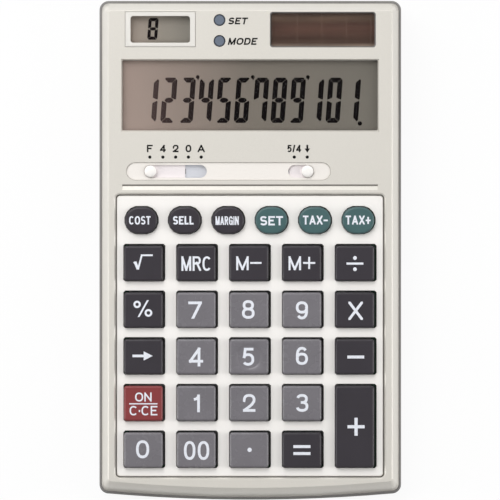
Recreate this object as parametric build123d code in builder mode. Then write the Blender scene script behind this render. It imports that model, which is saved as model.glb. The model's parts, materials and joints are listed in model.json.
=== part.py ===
from build123d import *
import os
from math import cos, radians, sin

# A 12-digit desk calculator with a sloping face. Lengths in millimetres, angles in degrees.
# Everything above the table is set out on the face plane: X to the right, V up the slope
# towards the display, and heights along the face's normal, with zero on the face itself.
# The origin is on the table, under the middle of the calculator.

os.makedirs("parts", exist_ok=True)

# Case halves
case_width = 104.0
case_length = 172.0
front_bow = 2.4  # the middle of the front edge stands this far ahead of its ends
case_corner = 3.2
face_tilt = 3.5
front_height = 13.0  # from the table to the face plane at the front edge
upper_depth = 6.5  # from the face down to the joint between the halves
upper_wall = 1.8
rim_step = 0.85  # the lower half stands proud of the upper half by this
flank_side = 2.2
flank_rear = 2.45
flank_front = 3.15
flank_corner = 1.2
face_edge = 0.35
inner_corner = 0.8
side_wall = 1.5
lower_wall = 2.8
floor_thick = 1.8
rim_edge = 0.4
bottom_edge = 1.2
foot_proud = 0.8
tongue_width = 0.7
tongue_height = 1.0
fit_gap = 0.1
cut_overrun = 1.0
arc_shares = (0.586, 0.215)  # corner cuts, as shares of a radius, whose flats all touch its arc

# Keypad panel and its wells. A margin runs in from the case's side or end, and a space lies
# between a piece and its neighbour nearer to the case's rear end.
keypad_x = -0.1
panel_side_margin = 6.1
panel_space = 2.85  # from the groove's middle
panel_front_margin = 8.15
panel_corner = 1.2
panel_drop = 0.9
panel_thick = 1.7
panel_gap = 0.4
panel_flange = 1.0
panel_flange_thick = 0.7
panel_edge = 0.3
rear_post_inset = 0.95
front_post_inset = 0.65
post_size = 2.4
opening_bevel = 0.55
bevel_angle = 45.0

# Keys
key_side_border = 2.8  # from the panel's sides to the keys
key_front_border = 3.27
key_side_space = 4.8
key_row_space = 3.97
key_corner = 0.55
key_rise = 1.0
key_edge = 0.5
key_close_gap = 0.15  # between a key and its well on the left and in front
key_side_gap = 0.8
key_back_gap = 0.65
key_wall = 1.2
key_roof = 1.4
key_travel = 1.5
key_lip = 0.45  # the retaining flange reaches this far under the panel, past the well
flange_gap = 0.1
flange_thick = 0.7
stem_size = 4.0
stem_drop = 0.2
dish_border = 1.35
dish_depth = 0.15
well_corner = 0.6
oval_side_border = 2.975
oval_rear_border = 3.835
oval_side_space = 3.79
oval_row_space = 3.985
oval_height = 9.23
oval_side_gap = 0.35
oval_back_gap = 0.3

# Rubber mat, board and chip
dome_gap = 0.1
dome_left = 0.5  # height that a dome keeps with its key down
dome_radius = 3.3
dome_sides = 6
dome_taper = 25.0
mat_thick = 1.0
mat_margin = 2.0
board_thick = 1.2
board_side_gap = 1.7
board_front_gap = 0.4
board_rear_gap = 1.4
board_corner = 1.5
chip_x = 12.0
chip_rear_margin = 59.0
chip_radius = 6.0
chip_height = 1.6
chip_sides = 12
chip_edge = 1.2

# Main display
display_x = keypad_x
display_side_margin = 7.6
display_space = 4.05  # from the solar window
display_height = 24.9
display_depth = 1.3
lens_lip = 1.0
lens_thick = 1.0
lcd_side_lap = 0.8
lcd_end_lap = 1.25
lcd_thick = 2.2
lcd_step = 1.0
lcd_gap = 0.1

# Small clock display
clock_side_margin = 21.0
clock_rear_margin = 9.9
bezel_width = 24.15
bezel_height = 12.0
bezel_rise = 0.15
bezel_flange = 1.0
bezel_flange_thick = 0.8
bezel_edge = 0.2
bezel_side = 1.825
bezel_end = 1.4
clock_corner = 1.0
clock_depth = 1.0
clock_lens_lip = 0.6
clock_lens_thick = 0.8
clock_lcd_side_lap = 0.95
clock_lcd_end_lap = 0.4
clock_lcd_thick = 1.6

# Solar cell
solar_side_margin = 8.75
solar_rear_margin = 3.9
label_space = 17.35  # from the round buttons' middles to the solar window
solar_height = 12.2
solar_corner = 1.0
solar_depth = 1.0
solar_side_lip = 1.0
solar_end_lip = 0.2
solar_lens_thick = 0.8
solar_cell_side_lap = 0.75
solar_cell_end_gap = 0.35
solar_cell_thick = 1.1

# Frame that carries both LCDs, and their rubber connectors
frame_wall = 1.1
frame_rear_wall = 0.7
frame_web = 1.2
frame_ledge = 4.5
frame_post = 2.4
connector_width = 2.2
connector_inset = 1.6
connector_end_inset = 3.2
clock_connector_end_inset = 2.2

# Round buttons beside the clock
button_offset = 20.4  # from the clock's middle
button_rear_margin = 6.7
button_pitch = 7.2
button_hole = 4.1
button_gap = 0.275
button_drop = 0.2
button_lap = 0.4
button_flange_thick = 0.7
button_stem = 2.0
button_travel = 0.6
switch_size = 3.6
switch_height = 0.6
button_edge = 0.3

# Slide switches
strip_left_margin = 9.4
strip_right_margin = 24.4
strip_space = 13.75  # from the display window to the strip's middle
strip_border = 0.75
strip_drop = 0.4
strip_thick = 0.7
slider_gap = 0.05
knob_diameter = 4.2
knob_gap = 0.1
knob_top = 0.7
knob_edge = 0.9
tongue_lap = 0.25
tongue_thick = 0.6
pad_floor = 1.0
pad_margin = 2.0
stem_long = 1.2
stem_across = 1.6
stem_inset = 0.7
slit_gap = 0.1
decimal_margin = 8.2  # from the strip's left end to the knob at rest
decimal_travel = 17.2
decimal_reach_left = 6.4
decimal_reach_right = 12.0
rounding_margin = 7.9
rounding_travel = 4.4
rounding_reach = 6.3
wiper_thick = 0.25
wiper_length = 6.0
wiper_across = 3.2
wiper_lift = 1.8  # height of the wiper's plate over the board

# Groove below the switch strip
groove_space = 5.5  # between the strip's middle and the groove's
groove_side_margin = 8.0
groove_width = 1.9
groove_depth = 0.5
groove_steep_share = 0.1

# Ribs on the floor that hold the board up under the keys
rib_thick = 1.2
rib_front_inset = 7.85  # from the keypad panel's ends
rib_rear_inset = 10.85
cross_rib_rows = (0.5, 2.5)
cross_rib_margin = 12.0

# Screws
screw_side_margin = 10.0
screw_space = 5.35  # from the display window
boss_size = 5.2
lower_boss_size = 6.4
screw_radius = 1.1
screw_head_radius = 2.1
screw_head_thick = 1.4
screw_recess = 2.6  # from the bottom up to the screws' seats
screw_play = 0.15
screw_slot_width = 0.6
screw_slot_depth = 0.6

# Battery bay and its door
cell_x = -25.0
cell_rear_margin = 16.0
cell_diameter = 11.6
cell_thick = 5.4
cell_play = 0.3
cell_step = 0.5
cell_rim = 1.2
bay_wall = 2.2
bay_roof = 1.6
contact_space = 0.9
contact_thick = 0.3
contact_width = 3.0
contact_tail = 0.8
door_side = 2.0
door_lap = 3.7
door_thick = 1.6
door_gap = 0.12
door_rail = 1.0
door_rail_thick = 0.6
door_ledge = 1.3
door_grip_count = 4
door_grip_pitch = 1.6
door_grip_width = 0.7
door_grip_depth = 0.35
door_grip_margin = 3.2

# Feet
foot_radius = 4.5
foot_side_margin = 10.0
foot_front_margin = 12.0
foot_rear_margin = 11.0

# Leads
lead_width = 1.0
lead_thick = 0.5
solar_lead_inset = 7.0

# The keys' names, row by row from the display's side
key_rows = (
    ("key_root", "key_mrc", "key_m_minus", "key_m_plus", "key_divide"),
    ("key_percent", "key_7", "key_8", "key_9", "key_multiply"),
    ("key_backspace", "key_4", "key_5", "key_6", "key_minus"),
    ("key_on_clear", "key_1", "key_2", "key_3", "key_plus"),
    ("key_0", "key_00", "key_point", "key_equals"),
)
oval_names = ("key_cost", "key_sell", "key_margin", "key_set", "key_tax_minus", "key_tax_plus")

# Sizes and places worked out from those above
tilt = radians(face_tilt)
half_width = case_width / 2
half_length = case_length / 2
face_z = front_height + half_length * sin(tilt)
rear_reach = (face_z + half_length * sin(tilt) - foot_proud - bottom_edge) / cos(tilt)
face_y = -(rear_reach + upper_depth + rim_edge) * sin(tilt) / 2
face = Plane(origin=(0, face_y, face_z), x_dir=(1, 0, 0), z_dir=(0, -sin(tilt), cos(tilt)))
face_axis = Axis(face.origin, face.z_dir)

clock_x = clock_side_margin - half_width
clock_v = half_length - clock_rear_margin
clock_width = bezel_width - 2 * bezel_side
clock_height = bezel_height - 2 * bezel_end
clock_lcd_width = clock_width + 2 * clock_lcd_side_lap
clock_lcd_height = clock_height + 2 * clock_lcd_end_lap
clock_connector_length = clock_lcd_width - 2 * clock_connector_end_inset
button_x = clock_x + button_offset
button_vs = [half_length - button_rear_margin - row * button_pitch for row in range(2)]
button_diameter = button_hole - 2 * button_gap
button_flange = button_hole + 2 * button_lap
solar_right = half_width - solar_side_margin
solar_width = solar_right - button_x - label_space
solar_x = solar_right - solar_width / 2
solar_v = half_length - solar_rear_margin - solar_height / 2
solar_cell_width = solar_width + 2 * solar_cell_side_lap
solar_cell_height = solar_height - 2 * solar_cell_end_gap
solar_lead_spacing = solar_cell_width - 2 * solar_lead_inset
display_width = case_width - 2 * display_side_margin
display_v = solar_v - solar_height / 2 - display_space - display_height / 2
display_front_v = display_v - display_height / 2
lcd_width = display_width + 2 * lcd_side_lap
lcd_height = display_height + 2 * lcd_end_lap
connector_length = lcd_width - 2 * connector_end_inset
screw_x = half_width - screw_side_margin
screw_v = display_front_v - screw_space
case_screw_places = [(side * screw_x, screw_v) for side in (-1, 1)]
slot_width = knob_diameter + 2 * knob_gap
strip_width = slot_width + 2 * strip_border
strip_length = case_width - strip_left_margin - strip_right_margin
strip_x = (strip_left_margin - strip_right_margin) / 2
strip_v = display_front_v - strip_space
tongue_across = slot_width + 2 * tongue_lap
decimal_x = strip_left_margin - half_width + decimal_margin
decimal_stem_offset = stem_inset - decimal_reach_left
rounding_x = half_width - strip_right_margin - rounding_margin
groove_v = strip_v - groove_space
groove_length = case_width - 2 * groove_side_margin
panel_width = case_width - 2 * panel_side_margin
panel_rear_v = groove_v - panel_space
panel_front_v = panel_front_margin - half_length
panel_length = panel_rear_v - panel_front_v
panel_v = (panel_rear_v + panel_front_v) / 2

# The keys and ovals share out the panel between them
last_column = len(key_rows[0]) - 1
last_row = len(key_rows) - 1
last_oval = len(oval_names) - 1
oval_spaces = 2 * oval_side_border + last_oval * oval_side_space
oval_width = (panel_width - oval_spaces) / (last_oval + 1)
oval_pitch = oval_width + oval_side_space
oval_row_v = panel_rear_v - oval_rear_border - oval_height / 2
column_spaces = 2 * key_side_border + last_column * key_side_space
key_width = (panel_width - column_spaces) / (last_column + 1)
column_pitch = key_width + key_side_space
first_row_rear_v = oval_row_v - oval_height / 2 - oval_row_space
row_spaces = key_front_border + last_row * key_row_space
key_height = (first_row_rear_v - panel_front_v - row_spaces) / (last_row + 1)
row_pitch = key_height + key_row_space
first_row_v = first_row_rear_v - key_height / 2
dish_radius = min(key_width, key_height) / 2 - dish_border
rear_post_x = (last_oval / 2 - 1) * oval_pitch
front_post_x = (last_column - 1) / 2 * column_pitch
post_places = [(keypad_x + side * rear_post_x, panel_rear_v - rear_post_inset) for side in (-1, 1)]
post_places += [(keypad_x + side * front_post_x, panel_front_v + front_post_inset) for side in (-1, 1)]
rib_x = column_pitch / 2
rib_front_v = panel_front_v + rib_front_inset
rib_rear_v = panel_rear_v - rib_rear_inset
cross_rib_vs = [first_row_v - rows * row_pitch for rows in cross_rib_rows]
cross_rib_length = case_width - 2 * cross_rib_margin
board_width = case_width - 2 * (lower_wall + board_side_gap)
board_rear_v = half_length - lower_wall - board_rear_gap
board_front_v = front_bow - half_length + lower_wall + board_front_gap
chip_v = half_length - chip_rear_margin
cell_y = half_length - cell_rear_margin
door_width = cell_diameter + 2 * door_side
door_front_y = cell_y - cell_diameter / 2 - door_lap
well_width = key_width + key_close_gap + key_side_gap
well_height = key_height + key_close_gap + key_back_gap
oval_well_width = oval_width + key_close_gap + oval_side_gap
oval_well_height = oval_height + key_close_gap + oval_back_gap
panel_bottom = -panel_drop - panel_thick
flange_top = panel_bottom - flange_gap
flange_bottom = flange_top - flange_thick
stem_bottom = flange_bottom - stem_drop
dome_top = stem_bottom - dome_gap
dome_height = dome_left + key_travel - dome_gap
mat_top = dome_top - dome_height
board_top = mat_top - mat_thick
board_bottom = board_top - board_thick
strip_bottom = -strip_drop - strip_thick
channel_floor = strip_bottom - tongue_thick - 2 * slider_gap
pad_bottom = channel_floor - pad_floor
display_lens_bottom = -display_depth - lens_thick
lcd_top = display_lens_bottom - lcd_gap
lcd_bottom = lcd_top - lcd_thick
clock_lcd_top = -upper_wall - bezel_flange_thick - lcd_gap
clock_lcd_bottom = clock_lcd_top - clock_lcd_thick
solar_cell_top = -upper_wall - fit_gap
solar_cell_bottom = solar_cell_top - solar_cell_thick
lens_width = display_width + 2 * lens_lip
lens_height = display_height + 2 * lens_lip
clock_lens_width = clock_width + 2 * clock_lens_lip
clock_lens_height = clock_height + 2 * clock_lens_lip
solar_lens_width = solar_width + 2 * solar_side_lip
solar_lens_height = solar_height + 2 * solar_end_lip
connector_v = display_v - lcd_height / 2 + connector_inset
clock_connector_v = clock_v - clock_lcd_height / 2 + connector_inset
frame_rear_v = clock_v + clock_lcd_height / 2 + fit_gap + frame_rear_wall
boss_hole_depth = -board_top - upper_wall - fit_gap
screw_seat = (foot_proud - face_z - screw_v * sin(tilt)) / cos(tilt) + screw_recess
button_stem_bottom = board_top + switch_height + button_travel + slider_gap
decimal_channel = (
    decimal_x - decimal_reach_left - slit_gap,
    decimal_x + decimal_travel + decimal_reach_right + slit_gap,
)
rounding_channel = (
    rounding_x - rounding_travel - rounding_reach - slit_gap,
    rounding_x + rounding_reach + slit_gap,
)
wiper_top = board_top + wiper_lift + wiper_thick
wiper_low = board_top + slider_gap + wiper_thick / 2
floor_top = foot_proud + floor_thick
door_top = foot_proud + door_thick
ledge_top = door_top + door_gap + door_ledge
cell_bottom = door_top + door_gap
cell_top = cell_bottom + cell_thick
bay_ceiling = cell_top + contact_space
bay_top = bay_ceiling + bay_roof
tail_top = bay_top + contact_tail
top_contact_x = cell_x - cell_diameter / 2 + contact_width / 2
side_contact_x = cell_x + cell_diameter / 2 + cell_play + contact_space - contact_thick
rear_y = face_y + half_length * cos(tilt) + rear_reach * sin(tilt)
door_rear_y = rear_y + cut_overrun
guide_rear_y = rear_y - lower_wall / 2
foot_x = half_width - foot_side_margin
foot_ys = (foot_front_margin - half_length, half_length - foot_rear_margin)
foot_places = [(x, y) for x in (-foot_x, foot_x) for y in foot_ys]
door_grip_length = door_width - 2 * door_grip_margin
board_underside_v = (cell_y - face_y + board_bottom * sin(tilt)) / cos(tilt)
board_underside_z = face_z + board_underside_v * sin(tilt) + board_bottom * cos(tilt)


def case_outline(side, rear, front, corner):
    """Outline square to the face, drawn in from the calculator's own outline on each side."""
    half = half_width - side
    back = half_length - rear
    middle = front - half_length
    end = middle + front_bow
    with BuildSketch() as outline:
        with BuildLine():
            Polyline((half, end), (half, back), (-half, back), (-half, end))
            ThreePointArc((-half, end), (0, middle), (half, end))
        make_face()
        fillet(outline.vertices(), corner)
    return outline.sketch


def inset_outline(inset):
    """Outline drawn in by the same amount all round, with its corners kept round."""
    return case_outline(inset, inset, inset, max(case_corner - inset, inner_corner))


def flank_outline(depth, inset, corner):
    """Outline of the upper half's sloping sides at a depth below the face, drawn in further."""
    slope_share = 1 - depth / upper_depth
    return case_outline(
        rim_step + flank_side * slope_share + inset,
        rim_step + flank_rear * slope_share + inset,
        rim_step + flank_front * slope_share + inset,
        corner,
    )


def upright_at(x, v):
    """Plane square to the face through one of its points, with its own Y along the normal."""
    return Plane(origin=face.from_local_coords((x, v, 0)), x_dir=(1, 0, 0), z_dir=-face.y_dir)


def cut_corners(outline, corner, round_ends):
    """Bevels a sketch's corners, or cuts them twice to follow an arc of that radius."""
    if not round_ends:
        chamfer(outline.vertices(), corner)
        return
    for arc_share in arc_shares:
        chamfer(outline.vertices(), corner * arc_share)


def save(piece, name):
    piece.label = name
    export_step(piece, f"parts/{name}.step")


# The middle of every key's well
key_wells = {}
for row, names in enumerate(key_rows):
    for column, name in enumerate(names):
        well_x = keypad_x + (column - last_column / 2) * column_pitch
        key_wells[name] = (well_x, first_row_v - row * row_pitch)
plus_x, plus_v = key_wells["key_plus"]
key_wells["key_plus"] = (plus_x, plus_v - row_pitch / 2)
oval_wells = {}
for column, name in enumerate(oval_names):
    oval_wells[name] = (keypad_x + (column - last_oval / 2) * oval_pitch, oval_row_v)


def extra_length(name):
    """The plus key is two rows tall."""
    return row_pitch if name == "key_plus" else 0


# Upper half of the case
with BuildPart() as upper_case:
    with BuildSketch(face.offset(-upper_depth)):
        add(inset_outline(rim_step))
    with BuildSketch(face.offset(-face_edge)):
        add(flank_outline(face_edge, 0, flank_corner))
    loft(ruled=True)
    with BuildSketch(face.offset(-face_edge)):
        add(flank_outline(face_edge, 0, flank_corner))
    extrude(amount=face_edge, taper=bevel_angle)
    with BuildSketch(face.offset(-upper_depth)):
        add(flank_outline(upper_depth, side_wall, inner_corner))
    with BuildSketch(face.offset(-upper_wall)):
        add(flank_outline(upper_wall, side_wall, inner_corner))
    loft(ruled=True, mode=Mode.SUBTRACT)
    # Rebate that takes the lower half's tongue
    with BuildSketch(face.offset(-upper_depth)):
        add(inset_outline(lower_wall - tongue_width - fit_gap))
    extrude(amount=tongue_height + fit_gap, mode=Mode.SUBTRACT)
    # Keypad opening, with its bevelled edge
    opening_width = panel_width + 2 * panel_gap
    opening_length = panel_length + 2 * panel_gap
    opening_corner = panel_corner + panel_gap
    for depth in (0, opening_bevel):
        with BuildSketch(face.offset(-depth)) as opening:
            bevel_left = opening_bevel - depth
            with Locations((keypad_x, panel_v)):
                Rectangle(opening_width + 2 * bevel_left, opening_length + 2 * bevel_left)
            cut_corners(opening, opening_corner + bevel_left, True)
    loft(ruled=True, mode=Mode.SUBTRACT)
    with BuildSketch(face) as opening:
        with Locations((keypad_x, panel_v)):
            Rectangle(opening_width, opening_length)
        cut_corners(opening, opening_corner, True)
    extrude(amount=-upper_wall, mode=Mode.SUBTRACT)
    # Main display window, with a seat for its lens underneath
    with BuildSketch(face):
        with Locations((display_x, display_v)):
            Rectangle(display_width, display_height)
    extrude(amount=-upper_wall, mode=Mode.SUBTRACT)
    with BuildSketch(face.offset(-upper_wall)):
        with Locations((display_x, display_v)):
            Rectangle(lens_width + 2 * fit_gap, lens_height + 2 * fit_gap)
    extrude(amount=upper_wall - display_depth, mode=Mode.SUBTRACT)
    # Solar window, with a seat for its lens underneath
    with BuildSketch(face) as solar_outline:
        with Locations((solar_x, solar_v)):
            Rectangle(solar_width, solar_height)
        cut_corners(solar_outline, solar_corner, True)
    extrude(amount=-upper_wall, mode=Mode.SUBTRACT)
    with BuildSketch(face.offset(-upper_wall)):
        with Locations((solar_x, solar_v)):
            Rectangle(solar_lens_width + 2 * fit_gap, solar_lens_height + 2 * fit_gap)
    extrude(amount=upper_wall - solar_depth, mode=Mode.SUBTRACT)
    # Opening for the clock's bezel, and the two button holes
    with BuildSketch(face):
        with Locations((clock_x, clock_v)):
            Rectangle(bezel_width + 2 * fit_gap, bezel_height + 2 * fit_gap)
        with Locations([(button_x, v) for v in button_vs]):
            Circle(button_hole / 2)
    extrude(amount=-upper_wall, mode=Mode.SUBTRACT)
    # Pad that carries the slide switches, its pocket for the strip, and the channels
    with BuildSketch(face.offset(-upper_wall)):
        with Locations((strip_x, strip_v)):
            Rectangle(strip_length + 2 * pad_margin, strip_width + 2 * pad_margin)
    extrude(amount=pad_bottom + upper_wall)
    with BuildSketch(face):
        with Locations((strip_x, strip_v)):
            SlotOverall(strip_length + 2 * fit_gap, strip_width + 2 * fit_gap)
    extrude(amount=strip_bottom, mode=Mode.SUBTRACT)
    with BuildSketch(face.offset(strip_bottom)):
        for left, right in (decimal_channel, rounding_channel):
            with Locations(((left + right) / 2, strip_v)):
                Rectangle(right - left, tongue_across + 2 * slit_gap)
    extrude(amount=channel_floor - strip_bottom, mode=Mode.SUBTRACT)
    with BuildSketch(face.offset(channel_floor)):
        with Locations((decimal_x + decimal_stem_offset + decimal_travel / 2, strip_v)):
            Rectangle(decimal_travel + stem_long + 2 * slit_gap, stem_across + 2 * slit_gap)
        with Locations((rounding_x - rounding_travel / 2, strip_v)):
            Rectangle(rounding_travel + stem_long + 2 * slit_gap, stem_across + 2 * slit_gap)
    extrude(amount=-pad_floor, mode=Mode.SUBTRACT)
    # Groove between the switch strip and the keypad: a steep wall behind, a gentle slope in front
    groove_plane = Plane(
        origin=face.from_local_coords((keypad_x - groove_length / 2, groove_v, 0)),
        x_dir=face.y_dir,
        z_dir=(1, 0, 0),
    )
    with BuildSketch(groove_plane):
        with BuildLine():
            Polyline(
                (groove_width / 2, 0),
                (groove_width * (1 - groove_steep_share) / 2, -groove_depth),
                (-groove_width / 2, 0),
                close=True,
            )
        make_face()
    extrude(amount=groove_length, mode=Mode.SUBTRACT)
    # Screw towers that reach down to the board
    with BuildSketch(face.offset(-upper_wall)):
        with Locations(*case_screw_places):
            Rectangle(boss_size, boss_size)
    extrude(amount=board_top + upper_wall)
    with BuildSketch(face.offset(board_top)):
        with Locations(*case_screw_places):
            Circle(screw_radius + fit_gap)
    extrude(amount=boss_hole_depth, mode=Mode.SUBTRACT)
save(upper_case.part, "upper_case")

# The lower half's outer form: a wedge with a level bottom
with BuildPart() as lower_block:
    with BuildSketch(face.offset(-upper_depth)):
        add(inset_outline(0))
    extrude(amount=-rear_reach)
    split(bisect_by=Plane.XY.offset(foot_proud), keep=Keep.TOP)
    chamfer(lower_block.edges().group_by(Axis.Z)[0], bottom_edge)
    chamfer(lower_block.edges().group_by(face_axis)[-1], rim_edge)

# The hollow inside the lower half, which leaves the bosses and ribs standing on the floor
with BuildPart() as lower_hollow:
    with BuildSketch(face.offset(-upper_depth)):
        add(inset_outline(lower_wall))
    extrude(amount=-rear_reach)
    with BuildSketch(face.offset(board_bottom)):
        with Locations(*case_screw_places):
            Rectangle(lower_boss_size, lower_boss_size)
        for side in (-1, 1):
            with Locations((side * rib_x, (rib_front_v + rib_rear_v) / 2)):
                Rectangle(rib_thick, rib_rear_v - rib_front_v)
        with Locations([(0, v) for v in cross_rib_vs]):
            Rectangle(cross_rib_length, rib_thick)
    extrude(amount=-rear_reach, mode=Mode.SUBTRACT)
    split(bisect_by=Plane.XY.offset(floor_top), keep=Keep.TOP)

# Lower half of the case
with BuildPart() as lower_case:
    add(lower_block.part)
    add(lower_hollow.part, mode=Mode.SUBTRACT)
    with BuildSketch(face.offset(-upper_depth)):
        add(inset_outline(lower_wall - tongue_width))
        add(inset_outline(lower_wall), mode=Mode.SUBTRACT)
    extrude(amount=tongue_height)
    # Battery bay standing on the floor, and the thicker floor that guides the door
    with BuildSketch(Plane.XY.offset(floor_top)):
        with Locations((cell_x, cell_y)):
            Rectangle(cell_diameter + 2 * bay_wall, cell_diameter + 2 * bay_wall)
    extrude(amount=bay_top - floor_top)
    with BuildSketch(Plane.XY.offset(floor_top)):
        with Locations((cell_x, (door_front_y - bay_wall + guide_rear_y) / 2)):
            Rectangle(door_width + 2 * (door_rail + bay_wall), guide_rear_y - door_front_y + bay_wall)
    extrude(amount=ledge_top - floor_top)
    with BuildSketch(Plane.XY):
        with Locations((cell_x, (door_front_y - door_gap + door_rear_y) / 2)):
            Rectangle(door_width + 2 * door_gap, door_rear_y - door_front_y + door_gap)
    extrude(amount=cell_bottom, mode=Mode.SUBTRACT)
    with BuildSketch(Plane.XY.offset(cell_bottom)):
        with Locations((cell_x, (door_front_y - door_gap + door_rear_y) / 2)):
            Rectangle(door_width + 2 * (door_rail + door_gap), door_rear_y - door_front_y + door_gap)
    extrude(amount=-door_rail_thick - 2 * door_gap, mode=Mode.SUBTRACT)
    with BuildSketch(Plane.XY.offset(cell_bottom)):
        with Locations((cell_x, cell_y)):
            Circle(cell_diameter / 2 + cell_play)
    extrude(amount=bay_ceiling - cell_bottom, mode=Mode.SUBTRACT)
    # Notch beside the cell for its side contact, and slots in the roof for both contact tails
    with BuildSketch(Plane.XY.offset(ledge_top)):
        with Locations((side_contact_x - contact_thick / 2, cell_y)):
            Rectangle(2 * contact_space, contact_width + 2 * fit_gap)
    extrude(amount=bay_ceiling - ledge_top, mode=Mode.SUBTRACT)
    with BuildSketch(Plane.XY.offset(bay_ceiling)):
        with Locations((side_contact_x, cell_y), (top_contact_x, cell_y)):
            Rectangle(contact_thick + 2 * fit_gap, contact_width + 2 * fit_gap)
    extrude(amount=bay_roof, mode=Mode.SUBTRACT)
    # Screw holes and the deep recesses for their heads
    with BuildSketch(face.offset(screw_seat)):
        with Locations(*case_screw_places):
            Circle(screw_radius + screw_play)
    extrude(amount=board_bottom - screw_seat, mode=Mode.SUBTRACT)
    with BuildSketch(face.offset(screw_seat)):
        with Locations(*case_screw_places):
            Circle(screw_head_radius + screw_play)
    extrude(amount=-rear_reach, mode=Mode.SUBTRACT)
save(lower_case.part, "lower_case")

# Battery door: a plate with a rail along each side, trimmed to the case's own form behind
with BuildPart() as battery_door:
    with BuildSketch(Plane.XY.offset(foot_proud)):
        with Locations((cell_x, (door_front_y + door_rear_y) / 2)):
            Rectangle(door_width, door_rear_y - door_front_y)
    extrude(amount=door_thick)
    with BuildSketch(Plane.XY.offset(door_top)):
        with Locations((cell_x, (door_front_y + door_rear_y) / 2)):
            Rectangle(door_width + 2 * door_rail, door_rear_y - door_front_y)
    extrude(amount=-door_rail_thick)
    add(lower_block.part, mode=Mode.INTERSECT)
    with BuildSketch(Plane.XY.offset(foot_proud)):
        for step in range(door_grip_count):
            with Locations((cell_x, rear_y - door_grip_margin - step * door_grip_pitch)):
                Rectangle(door_grip_length, door_grip_width)
    extrude(amount=door_grip_depth, mode=Mode.SUBTRACT)
save(battery_door.part, "battery_door")

# Button cell, with its stepped negative cap upwards
with BuildPart() as button_cell:
    with BuildSketch(Plane.XY.offset(cell_bottom)):
        with Locations((cell_x, cell_y)):
            Circle(cell_diameter / 2)
    extrude(amount=cell_thick - cell_step)
    with BuildSketch(Plane.XY.offset(cell_top - cell_step)):
        with Locations((cell_x, cell_y)):
            Circle(cell_diameter / 2 - cell_rim)
    extrude(amount=cell_step)
save(button_cell.part, "button_cell")

# Battery contacts: a leaf that presses on the cell's top and another on its side
with BuildPart() as battery_contacts:
    with BuildSketch(Plane.XZ.offset(-cell_y)):
        with BuildLine() as top_leaf:
            Polyline(
                (top_contact_x, tail_top),
                (top_contact_x, bay_ceiling - contact_thick),
                (cell_x - contact_space, bay_ceiling - contact_thick),
                (cell_x + contact_space, cell_top + contact_thick),
                (cell_x + contact_width, bay_ceiling - contact_thick),
            )
        trace(top_leaf.line, contact_thick)
        with BuildLine() as side_leaf:
            Polyline(
                (side_contact_x, tail_top),
                (side_contact_x, bay_ceiling - contact_thick),
                (cell_x + cell_diameter / 2 + contact_thick, (bay_ceiling + ledge_top) / 2),
                (side_contact_x, ledge_top + contact_thick),
            )
        trace(side_leaf.line, contact_thick)
    extrude(amount=contact_width / 2, both=True)
save(battery_contacts.part, "battery_contacts")

# Rubber feet
with BuildPart() as rubber_feet:
    with BuildSketch(Plane.XY):
        with Locations(*foot_places):
            Circle(foot_radius)
    extrude(amount=foot_proud)
save(rubber_feet.part, "rubber_feet")

# Case screws, with cross slots in their heads
with BuildPart() as case_screws:
    with BuildSketch(face.offset(screw_seat)):
        with Locations(*case_screw_places):
            Circle(screw_head_radius)
    extrude(amount=-screw_head_thick)
    with BuildSketch(face.offset(screw_seat)):
        with Locations(*case_screw_places):
            Circle(screw_radius)
    extrude(amount=board_top + boss_hole_depth - fit_gap - screw_seat)
    with BuildSketch(face.offset(screw_seat - screw_head_thick)):
        with Locations(*case_screw_places):
            Rectangle(2 * screw_radius, screw_slot_width)
            Rectangle(screw_slot_width, 2 * screw_radius)
    extrude(amount=screw_slot_depth, mode=Mode.SUBTRACT)
save(case_screws.part, "case_screws")

# Keypad panel: a plateau with a flange under the case, a well for each key, and posts that
# stand on the board
with BuildPart() as keypad_panel:
    with BuildSketch(face.offset(-panel_drop)) as outline:
        with Locations((keypad_x, panel_v)):
            Rectangle(panel_width, panel_length)
        cut_corners(outline, panel_corner, True)
    extrude(amount=-panel_thick)
    chamfer(keypad_panel.edges().group_by(face_axis)[-1], panel_edge)
    with BuildSketch(face.offset(panel_bottom)):
        with Locations((keypad_x, panel_v)):
            Rectangle(panel_width + 2 * panel_flange, panel_length + 2 * panel_flange)
    extrude(amount=panel_flange_thick)
    with BuildSketch(face.offset(-panel_drop)) as wells:
        for name, place in key_wells.items():
            with Locations(place):
                Rectangle(well_width, well_height + extra_length(name))
        cut_corners(wells, well_corner, False)
    extrude(amount=-panel_thick, mode=Mode.SUBTRACT)
    with BuildSketch(face.offset(-panel_drop)) as wells:
        with Locations(*oval_wells.values()):
            Rectangle(oval_well_width, oval_well_height)
        cut_corners(wells, min(oval_well_width, oval_well_height) / 2, True)
    extrude(amount=-panel_thick, mode=Mode.SUBTRACT)
    with BuildSketch(face.offset(panel_bottom)):
        with Locations(*post_places):
            Rectangle(post_size, post_size)
    extrude(amount=board_top - panel_bottom)
save(keypad_panel.part, "keypad_panel")


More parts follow.
